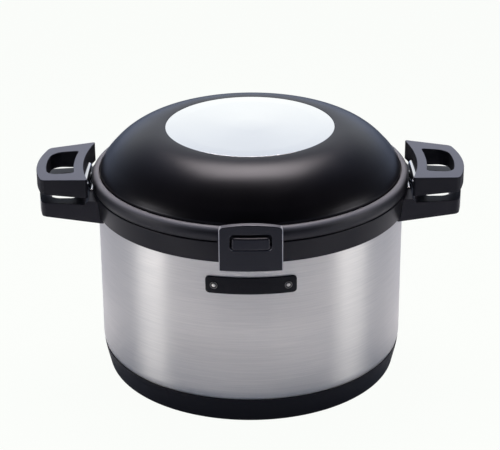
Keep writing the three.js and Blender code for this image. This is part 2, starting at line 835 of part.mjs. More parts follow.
// Domed cover of the lid, recessed for the steel disc
function lidDome() {
  const inset = domeArcRadius - domeWall;
  const coneStart = Math.PI / 2 - domeConeAngle;
  const skirtBottom = flangeTop + seatGap;
  return turned([
    [domeRadius, skirtBottom],
    [domeRadius, domeSkirtTop],
    [domeRadius - domeSkirtBend, domeSkirtTop + domeSkirtCut],
    ...arc(domeArcCentre, domeArcHeight, domeArcRadius, coneStart, Math.PI / 2, 5),
    [discRadius + seatGap, domeTop],
    [discRadius + seatGap, domeTop - discRecess],
    [0, domeTop - discRecess],
    [0, domeTop - discRecess - domeWall],
    [discRadius, domeTop - discRecess - domeWall],
    ...arc(domeArcCentre, domeArcHeight, inset, Math.PI / 2, coneStart, 3).slice(1),
    [domeRadius - domeWall, domeSkirtTop - domeSkirtBend],
    [domeRadius - domeWall, skirtBottom],
  ], roundSteps);
}

function lidDisc() {
  const bottom = domeTop - discRecess + seatGap;
  const edge = bottom + discThickness;
  return turned([
    [0, bottom],
    [discRadius - seatGap, bottom],
    [discRadius, bottom + seatGap],
    [discRadius, edge],
    [discRadius / 2, edge + discMidRise],
    [0, edge + discCrown],
  ], roundSteps);
}

// Insulating foam that fills the lid between the dome and the steel inner plate
function lidFoam() {
  const inset = domeArcRadius - domeWall - foamGap;
  const floor = flangeTop + foamGap;
  const outside = domeRadius - domeWall - 2 * foamGap;
  const coneStart = Math.PI / 2 - domeConeAngle;
  const roof = domeTop - discRecess - domeWall - foamGap;
  return turned([
    [0, knobWellTop + foamGap],
    [knobWellRadius - knobWellTaper, knobWellTop + foamGap],
    [knobWellRadius + foamGap, innerPlateCrown + foamGap],
    [innerPlateSlopeRadius, innerPlateCrown],
    [innerPlateThroat - domeSkirtBend, innerPlateShoulder + foamGap],
    [innerPlateThroat + 2 * foamGap, floor],
    [outside, floor],
    [outside, domeSkirtTop - foamGap],
    ...arc(domeArcCentre, domeArcHeight, inset, coneStart, Math.PI / 2, 2).slice(0, -1),
    [discRadius - foamGap, roof],
    [0, roof],
  ], roundSteps);
}

// Steel plate under the lid, with a well above the pot lid's knob
function lidInnerPlate() {
  const plate = turned(sheet([
    [innerPlateEdge, innerPlateTop],
    [innerPlateThroat + innerPlateWall, innerPlateTop],
    [innerPlateThroat, innerPlateTop + innerPlateWall],
    [innerPlateThroat - innerPlateWall, innerPlateShoulder - innerPlateBend],
    [innerPlateThroat - innerPlateStep, innerPlateShoulder],
    [innerPlateSlopeRadius, innerPlateCrown - innerPlateBend],
    [knobWellRadius, innerPlateCrown],
    [knobWellRadius - knobWellTaper, knobWellTop],
    [0, knobWellTop],
  ], innerPlateWall), roundSteps);
  return cut(plate, ...lidScrewPlaces().map(([x, y]) => rod('z', screwHoleRadius, 2 * overrun,
    [x, y, innerPlateTop - overrun])));
}

function lidScrewPlaces() {
  return Array.from({ length: lidScrewCount }, (_, i) => {
    const angle = (i + 1 / 2) * 2 * Math.PI / lidScrewCount;
    return [lidScrewCircle * Math.cos(angle), lidScrewCircle * Math.sin(angle)];
  });
}

// Hinge knuckle in the YZ plane: a barrel round the pin with a web back to the lid's rim
function knuckle() {
  const barrel = rod('x', barrelRadius, 2 * knuckleHalfWidth, [-knuckleHalfWidth, hingeY, hingeHeight],
    pinSteps);
  const web = block(
    [-knuckleHalfWidth, rimRadius - rimWall, hingeHeight - knuckleWebDrop],
    [knuckleHalfWidth, hingeY, hingeHeight + knuckleWebRise]);
  return join(barrel, web);
}

// Striker tongue that drops into the shoulder ring, with the window that the latch's nose enters
function striker() {
  const tongue = block(
    [-strikerHalfWidth, -strikerFront, strikerBottom],
    [strikerHalfWidth, -strikerBack, flangeBottom + seatGap]);
  const opening = block(
    [-noseHalfWidth - seatGap, -strikerFront - overrun, noseBottom - seatGap],
    [noseHalfWidth + seatGap, overrun - strikerBack, armTop + seatGap]);
  return cut(tongue, opening);
}

// Glossy ring round the lid, with the hinge knuckle behind and the striker in front
function lidRim() {
  const inside = rimRadius - rimWall;
  const crown = rimRadius - rimCrownInset;
  const ring = turned([
    [flangeInnerRadius, flangeBottom],
    [inside, flangeBottom],
    [inside + bandChamfer, rimBottom],
    [rimRadius - rimFootInset, rimBottom],
    [rimRadius, rimBottom + rimBulgeRise],
    [rimRadius, rimBottom + rimBulgeRise + rimBulgeHeight],
    [rimRadius - rimFootInset, rimTop - rimShoulderDrop],
    [crown + 2 * rimFootInset, rimTop - rimFootInset],
    [crown, rimTop],
    [grooveRadius + rimFootInset / 2, rimTop - rimFootInset / 2],
    [grooveRadius, rimTop - 2 * rimFootInset],
    [grooveRadius, flangeTop],
    [flangeInnerRadius, flangeTop],
  ], roundSteps);
  const earOutside = hingeHalfWidth + earNotchGap;
  const notches = [-1, 1].map((side) => block(
    [side > 0 ? knuckleHalfWidth : -earOutside, hingeY - barrelRadius - earNotchGap, rimBottom - overrun],
    [side > 0 ? earOutside : -knuckleHalfWidth, reach + overrun, rimTop + overrun]));
  const screwHoles = lidScrewPlaces().map(([x, y]) => rod('z', screwHoleRadius, 2 * overrun,
    [x, y, flangeBottom - overrun]));
  const pinBore = rod('x', pinBoreRadius, 2 * (knuckleHalfWidth + overrun),
    [-knuckleHalfWidth - overrun, hingeY, hingeHeight], pinSteps);
  return cut(join(ring, knuckle(), striker()), ...notches, ...screwHoles, pinBore);
}

// Hinge block behind the shoulder ring, with the two ears that hold the pin
function hingeBracket() {
  const half = hingeHalfWidth;
  const blockTop = bandTop - seatGap;
  const base = toSolid(pushed(
    roundedRectangle(-half, half, hingeBlockBottom, blockTop + hingeBlockCorner, hingeBlockCorner),
    'y', bodyRadius - overrun, reach));
  const trimmed = cut(base,
    vesselEnvelope(),
    block([-half - overrun, 0, blockTop], [half + overrun, reach + overrun, blockTop + 2 * overrun]));
  const front = hingeY - barrelRadius;
  const ears = [-1, 1].map((side) => {
    const from = side > 0 ? half - earThickness : -half;
    const upright = toSolid(pushed(outlineShape([
      [bandUpperRadius + 2 * seatGap, blockTop - overrun],
      [reach, blockTop - overrun],
      [reach, hingeHeight],
      [front, hingeHeight],
      [front, bandTop + seatGap],
      [bandUpperRadius + 2 * seatGap, bandTop + seatGap],
    ]), 'x', from, from + earThickness));
    return join(upright, rod('x', barrelRadius, earThickness, [from, hingeY, hingeHeight], pinSteps));
  });
  const pinBore = rod('x', pinBoreRadius, 2 * (half + overrun), [-half - overrun, hingeY, hingeHeight],
    pinSteps);
  const screwHoles = [-1, 1].flatMap((side) => {
    const x = side * hingeScrewSpacing / 2;
    return [
      rod('y', screwHoleRadius, 2 * overrun, [x, bandUpperRadius - overrun, hingeScrewHeight]),
      rod('y', counterboreRadius, overrun, [x, reach - counterboreDepth, hingeScrewHeight]),
    ];
  });
  return cut(join(trimmed, ...ears), pinBore, ...screwHoles);
}

function hingePin() {
  const half = hingeHalfWidth - pinInset;
  return rod('x', pinRadius, 2 * half, [-half, hingeY, hingeHeight], pinSteps);
}

// Front outline of the latch cover, arched along its top, drawn in by a margin
function latchOutline(margin) {
  const half = latchHalfWidth - margin;
  const shoulder = latchShoulder - margin;
  const bottom = latchBottom + margin;
  const shape = new THREE.Shape();
  shape.moveTo(-half, bottom);
  shape.lineTo(half, bottom);
  shape.lineTo(half, shoulder - latchCorner);
  shape.quadraticCurveTo(half, shoulder, half - latchCorner, shoulder + latchCornerRise);
  shape.quadraticCurveTo(0, 2 * (latchCrown - margin) - shoulder,
    latchCorner - half, shoulder + latchCornerRise);
  shape.quadraticCurveTo(-half, shoulder, -half, shoulder - latchCorner);
  return shape;
}

// Hollow cap over the latch, curved with the vessel and open towards it
function latchCover() {
  const zone = turned([
    [bodyRadius - overrun, latchBottom - overrun],
    [coverRadius, latchBottom - overrun],
    [coverRadius, latchCrown + overrun],
    [rimRadius + latchRimGap, latchCrown + overrun],
    [rimRadius + latchRimGap, bandTop + seatGap],
    [bodyRadius - overrun, bandTop + seatGap],
  ], roundSteps);
  const cap = overlapOf(zone, toSolid(pushed(latchOutline(0), 'y', -reach - overrun, 0, { steps: 4 })));
  const inside = turned([
    [0, latchBottom - overrun],
    [coverRadius - latchWall, latchBottom - overrun],
    [coverRadius - latchWall, latchCrown + overrun],
    [0, latchCrown + overrun],
  ], roundSteps);
  const hollow = overlapOf(inside,
    toSolid(pushed(latchOutline(latchWall), 'y', -reach - overrun, 0, { steps: 4 })));
  const hole = toSolid(pushed(
    roundedRectangle(-buttonHalfWidth - holeSide, buttonHalfWidth + holeSide,
      buttonBottom - holeBelow, buttonTop + holeAbove, holeCorner),
    'y', -reach - overrun, -bodyRadius));
  return cut(cap, hollow, hole, vesselEnvelope());
}

// How far a faceted ring has drawn back at a distance to the side of its front corner
const drawnBack = (x) => x * Math.tan(Math.PI / roundSteps);

// Push button with its web, arms and the nose that holds the striker
function latchButton() {
  const inCover = coverRadius - latchWall - seatGap;
  const curved = (outer, inner, bottom, top) => turned([
    [inner, bottom],
    [outer, bottom],
    [outer, top],
    [inner, top],
  ], roundSteps);
  const face = overlapOf(
    curved(reach, reach - buttonDepth, buttonBottom - overrun, buttonTop + overrun),
    toSolid(pushed(
      roundedRectangle(-buttonHalfWidth, buttonHalfWidth, buttonBottom, buttonTop, buttonCorner),
      'y', -reach - overrun, -bodyRadius)));
  const web = overlapOf(
    curved(inCover, inCover - latchWall, webBottom, webTop),
    block([-webHalfWidth, -reach, webBottom], [webHalfWidth, -bodyRadius, webTop]));
  const arms = [-armHalfSpan, armHalfSpan - armWidth].map((x) => block(
    [x, latchWall / 2 + drawnBack(armHalfSpan) - inCover, armBottom], [x + armWidth, -armReach, armTop]));
  const bar = block(
    [-armHalfSpan, -armReach - crossBarThickness, armBottom],
    [armHalfSpan, -armReach, armTop]);
  const nose = block(
    [-noseHalfWidth, -noseReach, noseBottom],
    [noseHalfWidth, -armReach - crossBarThickness / 2, armTop]);
  return join(face, web, ...arms, bar, nose);
}

// Return spring: one wire wound along Y, with closed ends
function latchSpring() {
  const stepsPerTurn = 6;
  const sides = 4;
  const centreRadius = springRadius - springWire;
  const start = seatGap + springWire;
  const length = springRoom() - 2 * start;
  const rings = springTurnCount * stepsPerTurn;
  const points = [];
  for (let i = 0; i <= rings; i += 1) {
    const angle = 2 * Math.PI * i / stepsPerTurn;
    const outwards = new THREE.Vector3(Math.cos(angle), 0, Math.sin(angle));
    const centre = outwards.clone().multiplyScalar(centreRadius).setY(start + length * i / rings);
    for (let j = 0; j < sides; j += 1) {
      const turn = 2 * Math.PI * j / sides;
      points.push(centre.clone()
        .addScaledVector(outwards, springWire * Math.cos(turn))
        .add(new THREE.Vector3(0, springWire * Math.sin(turn), 0)));
    }
  }
  const faces = [];
  for (let i = 0; i < rings; i += 1) {
    for (let j = 0; j < sides; j += 1) {
      const a = i * sides + j;
      const b = i * sides + (j + 1) % sides;
      faces.push(a, b, a + sides, b, b + sides, a + sides);
    }
  }
  for (let j = 1; j < sides - 1; j += 1) {
    faces.push(0, j + 1, j, rings * sides, rings * sides + j, rings * sides + j + 1);
  }
  const geometry = new THREE.BufferGeometry().setFromPoints(points);
  geometry.setIndex(faces);
  return toSolid(geometry);
}

// Length between the back of the button's web and the bottom of the spring's bore
function springRoom() {
  return coverRadius - 2 * latchWall - seatGap - drawnBack(springX) - springBoreBottom;
}

function curvedPlate(half, bottom, top, corner, inner, outer) {
  const band = turned([
    [inner, bottom - overrun],
    [outer, bottom - overrun],
    [outer, top + overrun],
    [inner, top + overrun],
  ], roundSteps);
  return overlapOf(band, toSolid(pushed(
    roundedRectangle(-half, half, bottom, top, corner), 'y', -outer - overrun, 0)));
}

function namePlate() {
  const inner = bodyRadius + seatGap;
  const plate = curvedPlate(plateHalfWidth, plateBottom, plateTop, plateCorner, inner, inner + plateThickness);
  const holes = [-1, 1].map((side) => rod('y', rivetShankRadius + seatGap, 4 * overrun,
    [side * rivetX, -inner - 2 * overrun, (plateBottom + plateTop) / 2]));
  return cut(plate, ...holes);
}

// Rivet lying along Y with its head towards -Y and the underside of the head at the origin
function plateRivet() {
  const head = turned([
    [0, 0],
    [rivetRadius, 0],
    [rivetRadius, rivetEdge],
    [rivetCrownRadius, rivetCrownEdge],
    [0, rivetHeadHeight],
  ], pinSteps);
  const shank = rod('z', rivetShankRadius, plateThickness + seatGap, [0, 0, -plateThickness]);
  return join(head, shank);
}

// A mesh with its name and finish
function piece(name, solid, colour, roughness, metalness = 0) {
  const mesh = new THREE.Mesh(toGeometry(solid),
    new THREE.MeshStandardMaterial({ color: colour, roughness, metalness }));
  mesh.name = name;
  return mesh;
}

// The same piece on the right, and turned half round the axis on the left
function pair(name, make) {
  const right = make(`${name}_right`);
  const left = make(`${name}_left`);
  left.rotation.z = Math.PI;
  return [left, right];
}

// Vessel: everything that stands on the table
function vessel() {
  const group = new THREE.Group();
  group.add(
    piece('outer_shell', outerShell(), 0x9a979b, 0.35, 0.9),
    piece('inner_liner', innerLiner(), 0xa3a3a6, 0.3, 0.9),
    piece('vacuum_bottom_plate', bottomPlate(), 0x9c9c9f, 0.4, 0.9),
    piece('base_cover', baseCover(), 0x1a181e, 0.6),
    piece('shoulder_ring', shoulderRing(), 0x26262b, 0.4),
    piece('hinge_bracket', hingeBracket(), 0x222226, 0.45),
    piece('hinge_pin', hingePin(), 0xb8b8bc, 0.25, 1),
    piece('latch_cover', latchCover(), 0x2b2b30, 0.4),
    piece('name_plate', namePlate(), 0x1b1c20, 0.35),
    ...pair('vessel_handle', (name) => piece(name, vesselHandleSolid(), 0x1f1e23, 0.5)),
    ...hingeScrews(),
    ...plateRivets(),
  );
  return group;
}

function hingeScrews() {
  return ['left', 'right'].map((side, i) => {
    const screw = piece(`hinge_screw_${side}`, uprightScrew(hingeScrewLength), 0x8d8d92, 0.35, 1);
    screw.rotation.x = Math.PI / 2;
    screw.position.set((i - 1 / 2) * hingeScrewSpacing, reach - counterboreDepth, hingeScrewHeight);
    return screw;
  });
}

function plateRivets() {
  const seat = bodyRadius + 2 * seatGap + plateThickness;
  return ['left', 'right'].map((side, i) => {
    const turn = Math.asin((i > 0 ? rivetX : -rivetX) / seat);
    const rivet = piece(`plate_rivet_${side}`, plateRivet(), 0xc9c9cd, 0.25, 1);
    rivet.rotation.set(Math.PI / 2, 0, turn, 'ZXY');
    rivet.position.set(seat * Math.sin(turn), -seat * Math.cos(turn), (plateBottom + plateTop) / 2);
    return rivet;
  });
}

// Pot: lifts out of the vessel with its brackets, handles and lid
function pot() {
  const group = new THREE.Group();
  group.add(
    piece('pot_body', potBody(), 0xb0b0b3, 0.22, 1),
    piece('pot_base', potBase(), 0x9d9da0, 0.4, 1),
    piece('pot_lid', potLid(), 0xb0b0b3, 0.2, 1),
    piece('pot_lid_knob', potLidKnob(), 0x202024, 0.45),
    ...pair('pot_bracket', (name) => piece(name, potBracket(), 0xc4c4c8, 0.12, 1)),
    ...pair('pot_handle', (name) => piece(name, potHandleSolid(), 0x2a2a2e, 0.5)),
    ...potHandleScrews(),
    potLidKnobScrew(),
  );
  return group;
}

function potHandleScrews() {
  return [-1, 1].flatMap((end) => [-1, 1].map((side) => {
    const name = `pot_handle_screw_${end > 0 ? 'right' : 'left'}_${side > 0 ? 'rear' : 'front'}`;
    const screw = piece(name, uprightScrew(handleScrewLength), 0x8d8d92, 0.35, 1);
    screw.position.set(end * handleScrewRadius, side * handleScrewSpacing / 2,
      potHandleBottom + handleScrewRecess);
    return screw;
  }));
}

function potLidKnobScrew() {
  const screw = piece('pot_lid_knob_screw', uprightScrew(knobBore), 0x8d8d92, 0.35, 1);
  screw.position.z = potLidCrown - potLidWall - seatGap;
  return screw;
}

// Lid: swings on the hinge pin
function lid() {
  const group = new THREE.Group();
  group.add(
    piece('lid_rim', lidRim(), 0x232126, 0.3),
    piece('lid_dome', lidDome(), 0x1c1c21, 0.5),
    piece('lid_disc', lidDisc(), 0xe8e9ec, 0.1, 1),
    piece('lid_foam', lidFoam(), 0xe6e2d6, 0.9),
    piece('lid_inner_plate', lidInnerPlate(), 0xb0b0b3, 0.25, 1),
    ...lidScrewPlaces().map(([x, y], i) => {
      const screw = piece(`lid_screw_${i + 1}`, uprightScrew(flangeThickness), 0x8d8d92, 0.35, 1);
      screw.position.set(x, y, innerPlateTop - innerPlateWall - seatGap);
      return screw;
    }),
  );
  return group;
}

// Latch: the button slides inwards against its springs and frees the striker
function latch() {
  const group = new THREE.Group();
  group.add(piece('latch_button', latchButton(), 0x2e2e33, 0.35));
  ['left', 'right'].forEach((side, i) => {
    const spring = piece(`latch_spring_${side}`, latchSpring(), 0xa8a8ac, 0.3, 1);
    spring.position.set(i > 0 ? springX : -springX, -springBoreBottom - springRoom(), springHeight);
    group.add(spring);
  });
  return group;
}

const group = new THREE.Group();
group.add(vessel(), pot(), lid(), latch());
export default group;
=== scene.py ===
import math

import bmesh
import bpy
from mathutils import Matrix, Vector


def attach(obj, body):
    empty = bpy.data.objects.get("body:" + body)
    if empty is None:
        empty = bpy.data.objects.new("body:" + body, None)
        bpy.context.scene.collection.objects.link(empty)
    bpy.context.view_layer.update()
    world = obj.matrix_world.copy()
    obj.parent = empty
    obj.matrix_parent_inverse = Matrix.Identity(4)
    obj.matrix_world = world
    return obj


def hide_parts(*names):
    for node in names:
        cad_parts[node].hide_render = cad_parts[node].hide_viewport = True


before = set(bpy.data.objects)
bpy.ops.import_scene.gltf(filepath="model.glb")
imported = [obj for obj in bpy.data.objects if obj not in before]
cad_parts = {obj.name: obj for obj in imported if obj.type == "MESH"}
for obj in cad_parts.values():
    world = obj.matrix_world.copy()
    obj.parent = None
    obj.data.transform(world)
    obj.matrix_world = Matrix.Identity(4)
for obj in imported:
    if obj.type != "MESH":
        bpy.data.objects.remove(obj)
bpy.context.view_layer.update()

# Studio. The cooker stands on a white board, seen from 24 degrees above and 1.55 m away, with its
# latch towards the camera. A lamp box hangs over its back and a tall strip stands at each side. The
# room behind the camera is dim, which is what the glossy plastic shows in front.

scene = bpy.context.scene
scene.view_settings.view_transform = "Standard"

lens, sensor_width = 124.2, 36  # millimetres
eye = (-0.00055, -1.4160, 0.7577)  # metres
pitch, roll = 66, -0.399  # degrees up from looking straight down, and of roll
camera_data = bpy.data.cameras.new("camera")
camera_data.lens = lens
camera_data.sensor_width = sensor_width
camera = bpy.data.objects.new("camera", camera_data)
camera.matrix_world = (Matrix.Translation(eye) @ Matrix.Rotation(math.radians(pitch), 4, "X")
                       @ Matrix.Rotation(math.radians(roll), 4, "Z"))
scene.collection.objects.link(camera)
scene.camera = camera


def colour(code):
    """The linear colour of an sRGB hex code."""
    parts = [int(code[i:i + 2], 16) / 255 for i in (1, 3, 5)]
    return [p / 12.92 if p <= 0.04045 else ((p + 0.055) / 1.055) ** 2.4 for p in parts] + [1]


def add(tree, kind, settings=None, **sockets):
    """A new node. Sockets get values, or the outputs that feed them. In a socket's name _ stands
    for a space, and i and a number for its place among the inputs."""
    node = tree.nodes.new(kind)
    for name, value in (settings or {}).items():
        setattr(node, name, value)
    for name, value in sockets.items():
        socket = node.inputs[int(name[1:]) if name[1:].isdigit() else name.replace("_", " ")]
        if isinstance(value, bpy.types.NodeSocket):
            tree.links.new(value, socket)
        else:
            socket.default_value = value
    return node


world = bpy.data.worlds.new("studio")
scene.world = world
world.use_nodes = True
air = world.node_tree
air.nodes.clear()
rays = add(air, "ShaderNodeLightPath").outputs
heading = add(air, "ShaderNodeSeparateXYZ",
              Vector=add(air, "ShaderNodeTexCoord").outputs["Generated"]).outputs
sideways = add(air, "ShaderNodeMath", {"operation": "ABSOLUTE"}, i0=heading["X"]).outputs[0]

# Gloss and glass see a backdrop that is white low down behind the cooker, dimmer overhead and at
# the sides, and nearly dark at the camera's end. Matt surfaces get an even dim light from it, and
# the eye sees plain white.
matt_light = 0.3
shown = add(air, "ShaderNodeMapRange", {"interpolation_type": "SMOOTHSTEP"}, Value=heading["Y"],
            From_Min=-0.25, From_Max=0.5, To_Min=0.02, To_Max=1.0).outputs[0]
climb = add(air, "ShaderNodeMapRange", {"interpolation_type": "SMOOTHSTEP"}, Value=heading["Z"],
            From_Min=0.27, From_Max=0.6, To_Min=1.15, To_Max=0.4).outputs[0]
aside = add(air, "ShaderNodeMapRange", Value=sideways,
            From_Min=0.35, From_Max=0.85, To_Min=1.0, To_Max=0.14).outputs[0]
for falloff in (climb, aside):
    shown = add(air, "ShaderNodeMath", {"operation": "MULTIPLY"}, i0=shown, i1=falloff).outputs[0]
clear = add(air, "ShaderNodeMath", {"operation": "MAXIMUM"},
            i0=rays["Is Glossy Ray"], i1=rays["Is Transmission Ray"]).outputs[0]
strength = add(air, "ShaderNodeMix", Factor=clear, A=matt_light, B=shown).outputs[0]
strength = add(air, "ShaderNodeMath", {"operation": "MAXIMUM"},
               i0=rays["Is Camera Ray"], i1=strength).outputs[0]

# It is bluish overhead, along the horizon, at the sides and for matt surfaces. The rest is white,
# and to the eye all of it is.
bluish = rays["Is Diffuse Ray"]
for along, none, full, most in ((heading["Z"], 0.3, 0.65, 1.0), (heading["Z"], 0.28, 0.15, 0.75),
                                (sideways, 0.3, 0.65, 0.6)):
    share = add(air, "ShaderNodeMapRange", Value=along, From_Min=none, From_Max=full, To_Max=most)
    bluish = add(air, "ShaderNodeMath", {"operation": "MAXIMUM"},
                 i0=bluish, i1=share.outputs[0]).outputs[0]
bluish = add(air, "ShaderNodeMath", {"operation": "SUBTRACT", "use_clamp": True},
             i0=bluish, i1=rays["Is Camera Ray"]).outputs[0]
tinted = add(air, "ShaderNodeMix", {"data_type": "RGBA"}, Factor=bluish,
             i6=colour("#fcfefb"), i7=colour("#b4c8f4"))
backdrop = add(air, "ShaderNodeBackground", Color=tinted.outputs[2], Strength=strength)
add(air, "ShaderNodeOutputWorld", Surface=backdrop.outputs[0])

# White board. To the eye it is nearly all its own light, with just enough of the lit board in it to
# hold a faint shadow. Gloss and glass see the lit board as it is.
own_light = 0.98
board_reach = 12  # metres from its middle
white_paper = bpy.data.materials.new("white_paper")
white_paper.use_nodes = True
tree = white_paper.node_tree
tree.nodes.clear()
eye_share = add(tree, "ShaderNodeMath", {"operation": "MULTIPLY"},
                i0=add(tree, "ShaderNodeLightPath").outputs["Is Camera Ray"], i1=own_light)
lit_board = add(tree, "ShaderNodeBsdfDiffuse", Color=colour("#f4f5f4"))
glow = add(tree, "ShaderNodeEmission", Color=colour("#fcfefb"), Strength=1.0)
both = add(tree, "ShaderNodeMixShader", Fac=eye_share.outputs[0],
           i1=lit_board.outputs[0], i2=glow.outputs[0])
add(tree, "ShaderNodeOutputMaterial", Surface=both.outputs[0])

bm = bmesh.new()
bmesh.ops.create_grid(bm, x_segments=1, y_segments=1, size=board_reach)
floor_mesh = bpy.data.meshes.new("floor")
bm.to_mesh(floor_mesh)
bm.free()
floor_mesh.materials.append(white_paper)
floor = bpy.data.objects.new("floor", floor_mesh)
scene.collection.objects.link(floor)

# Lamps: name, place, what it faces, width, height, watts, colour, and the spread of its beam
for name, at, aim, width, height, power, tint, beam in (
        ("lamp_overhead", (0, 0.47, 1.25), (0, 0.1, 0.2), 0.8, 0.6, 3.4, "#fff4ee", 80),
        ("strip_left", (-1.3, -0.39, 0.3), (0, 0, 0.1), 0.56, 0.7, 5.7, "#fffaf4", 180),
        ("strip_right", (1.3, -0.37, 0.3), (0, 0, 0.1), 0.58, 0.7, 5.1, "#fffaf4", 180),
        ("lamp_on_board", (0, -0.28, 0.5), (0, -0.28, 0), 1.3, 0.12, 0.38, "#fff2ea", 12)):
    lamp = bpy.data.lights.new(name, "AREA")
    lamp.shape = "RECTANGLE"
    lamp.size = width
    lamp.size_y = height
    lamp.energy = power
    lamp.color = colour(tint)[:3]
    lamp.spread = math.radians(beam)
    hung = bpy.data.objects.new(name, lamp)
    facing = (Vector(aim) - Vector(at)).to_track_quat("-Z", "Y")
    hung.matrix_world = Matrix.Translation(at) @ facing.to_matrix().to_4x4()
    hung.visible_camera = False
    scene.collection.objects.link(hung)

# Outer steel shell. Drawn sheet of 18/8 stainless steel, spun in at the foot and necked in under
# the shoulder ring. It is brushed all round, so its reflections smear up and down.

shell_radius, neck_radius, shell_sheet = 135, 128.6, 0.8  # millimetres, as all sizes from here on


def drawn(path, close=True):
    """A line in the XZ plane: a point is (x, z), a rounded corner is (x, z, cut), and an arc is
    (centre x, centre z, degrees, steps), swung from where the line has got to."""
    bm = bmesh.new()
    first = pen = bm.verts.new((path[0][0] / 1000, 0, path[0][1] / 1000))
    corners = [(first, path[0][2])] if len(path[0]) == 3 else []
    for step in path[1:]:
        if len(step) == 4:
            swung = bmesh.ops.spin(
                bm, geom=[pen], cent=(step[0] / 1000, 0, step[1] / 1000), axis=(0, -1, 0),
                angle=math.radians(step[2]), steps=step[3], use_merge=False, use_duplicate=False)
            pen = next(g for g in swung["geom_last"] if isinstance(g, bmesh.types.BMVert))
            continue
        reached = bm.verts.new((step[0] / 1000, 0, step[1] / 1000))
        bm.edges.new((pen, reached))
        pen = reached
        if len(step) == 3:
            corners.append((pen, step[2]))
    if close:
        bm.edges.new((pen, first))
    for corner, cut in corners:
        bmesh.ops.bevel(bm, geom=[corner], offset=cut / 1000, offset_type="OFFSET",
                        segments=max(3, round(cut)), profile=0.5, affect="VERTICES", material=-1)
    return bm


def turned(bm, steps=256):
    """The drawn line turned once round the Z axis."""
    bmesh.ops.spin(bm, geom=bm.verts[:] + bm.edges[:], cent=(0, 0, 0), axis=(0, 0, 1),
                   angle=math.tau, steps=steps, use_merge=True, use_duplicate=False)
    bmesh.ops.remove_doubles(bm, verts=bm.verts, dist=1e-6)
    bmesh.ops.dissolve_degenerate(bm, dist=1e-7, edges=bm.edges)
    bmesh.ops.recalc_face_normals(bm, faces=bm.faces)
    return bm


def made(name, bm, material):
    """The finished mesh as an object, shaded smooth but for its sharper edges."""
    crease = math.radians(40)
    mesh = bpy.data.meshes.new(name)
    bm.to_mesh(mesh)
    bm.free()
    mesh.shade_smooth()
    mesh.set_sharp_from_angle(angle=crease)
    mesh.materials.append(material)
    piece = bpy.data.objects.new(name, mesh)
    scene.collection.objects.link(piece)
    evened = piece.modifiers.new("even_shading", "WEIGHTED_NORMAL")
    evened.keep_sharp = True
    return piece


def finish(name, **sockets):
    """A material with its tree and its shader, whose plain sockets are set here."""
    material = bpy.data.materials.new(name)
    material.use_nodes = True
    tree = material.node_tree
    tree.nodes.clear()
    shader = add(tree, "ShaderNodeBsdfPrincipled", **sockets)
    add(tree, "ShaderNodeOutputMaterial", Surface=shader.outputs[0])
    return material, tree, shader


noise_span = {"From_Min": 0.3, "From_Max": 0.7}  # most of a noise lies between these


def mottled(tree, shader, marks, dark, light, smooth, rough, second=None):
    """The shader's colour run from dark to light and its roughness from smooth to rough by the
    marks. A second pattern makes the roughness a little more uneven."""
    depth = add(tree, "ShaderNodeMapRange", Value=marks, **noise_span).outputs[0]
    tone = add(tree, "ShaderNodeMix", {"data_type": "RGBA"}, Factor=depth, i6=dark, i7=light)
    tree.links.new(tone.outputs[2], shader.inputs["Base Color"])
    gloss = add(tree, "ShaderNodeMapRange", Value=depth, To_Min=smooth, To_Max=rough).outputs[0]
    if second is not None:
        uneven = add(tree, "ShaderNodeMapRange", Value=second, To_Min=-0.02, To_Max=0.02,
                     **noise_span).outputs[0]
        gloss = add(tree, "ShaderNodeMath", {"operation": "ADD"}, i0=gloss, i1=uneven).outputs[0]
    tree.links.new(gloss, shader.inputs["Roughness"])


# Brushed stainless steel. Its marks run level round the wall and spread the gloss upright, so the
# lamps show as tall soft bars with fine streaks across them. Real marks are 0.05 mm apart, drawn
# here at about 0.9 mm so that they show, each some 40 mm long, over faint blotches of 30 to 110 mm.
brushed_steel, tree, shader = finish("brushed_stainless_steel", Metallic=1.0, Anisotropic=0.86)
place = add(tree, "ShaderNodeTexCoord").outputs["Object"]
spaced = add(tree, "ShaderNodeMapping", Vector=place, Scale=(26, 26, 1100)).outputs[0]
belt = add(tree, "ShaderNodeTexNoise", Vector=spaced, Scale=1.0, Detail=3.0).outputs[0]
spaced = add(tree, "ShaderNodeMapping", Vector=place, Scale=(9, 9, 30)).outputs[0]
blotch = add(tree, "ShaderNodeTexNoise", Vector=spaced, Scale=1.0, Detail=1.0).outputs[0]
mottled(tree, shader, belt, colour("#c4c5c6"), colour("#d0d0d0"), 0.31, 0.37, blotch)
upright = add(tree, "ShaderNodeCombineXYZ", X=0.0, Y=0.0, Z=1.0)
tree.links.new(upright.outputs[0], shader.inputs["Tangent"])
scratched = add(tree, "ShaderNodeBump", Strength=0.12, Distance=0.00005, Height=belt)
tree.links.new(scratched.outputs[0], shader.inputs["Normal"])

bm = turned(drawn([
    (132.32, 21), (115, 31, 30, 8),  # the foot, rounded in
    (shell_radius, 153.9), (shell_radius, 155.5),
    (134, 157.6), (131.9, 158.6), (129.6, 158.6),  # the step in under the ring
    (neck_radius, 159.6), (neck_radius, 161.5)], close=False))
bmesh.ops.solidify(bm, geom=bm.faces[:], thickness=shell_sheet / 1000)
shell = made("steel_shell", bm, brushed_steel)
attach(shell, "vessel")
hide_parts("outer_shell")

# Inner wall and vacuum plate. The liner and the dished plate that close the vacuum space, of the
# same steel sheet left as it was rolled. Both are hidden by the pot and the base, so the plain
# parts serve.


def dressed(material, *nodes):
    """CAD parts whose shape serves as it is, given their material."""
    for node in nodes:
        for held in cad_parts[node].material_slots:
            held.material = material


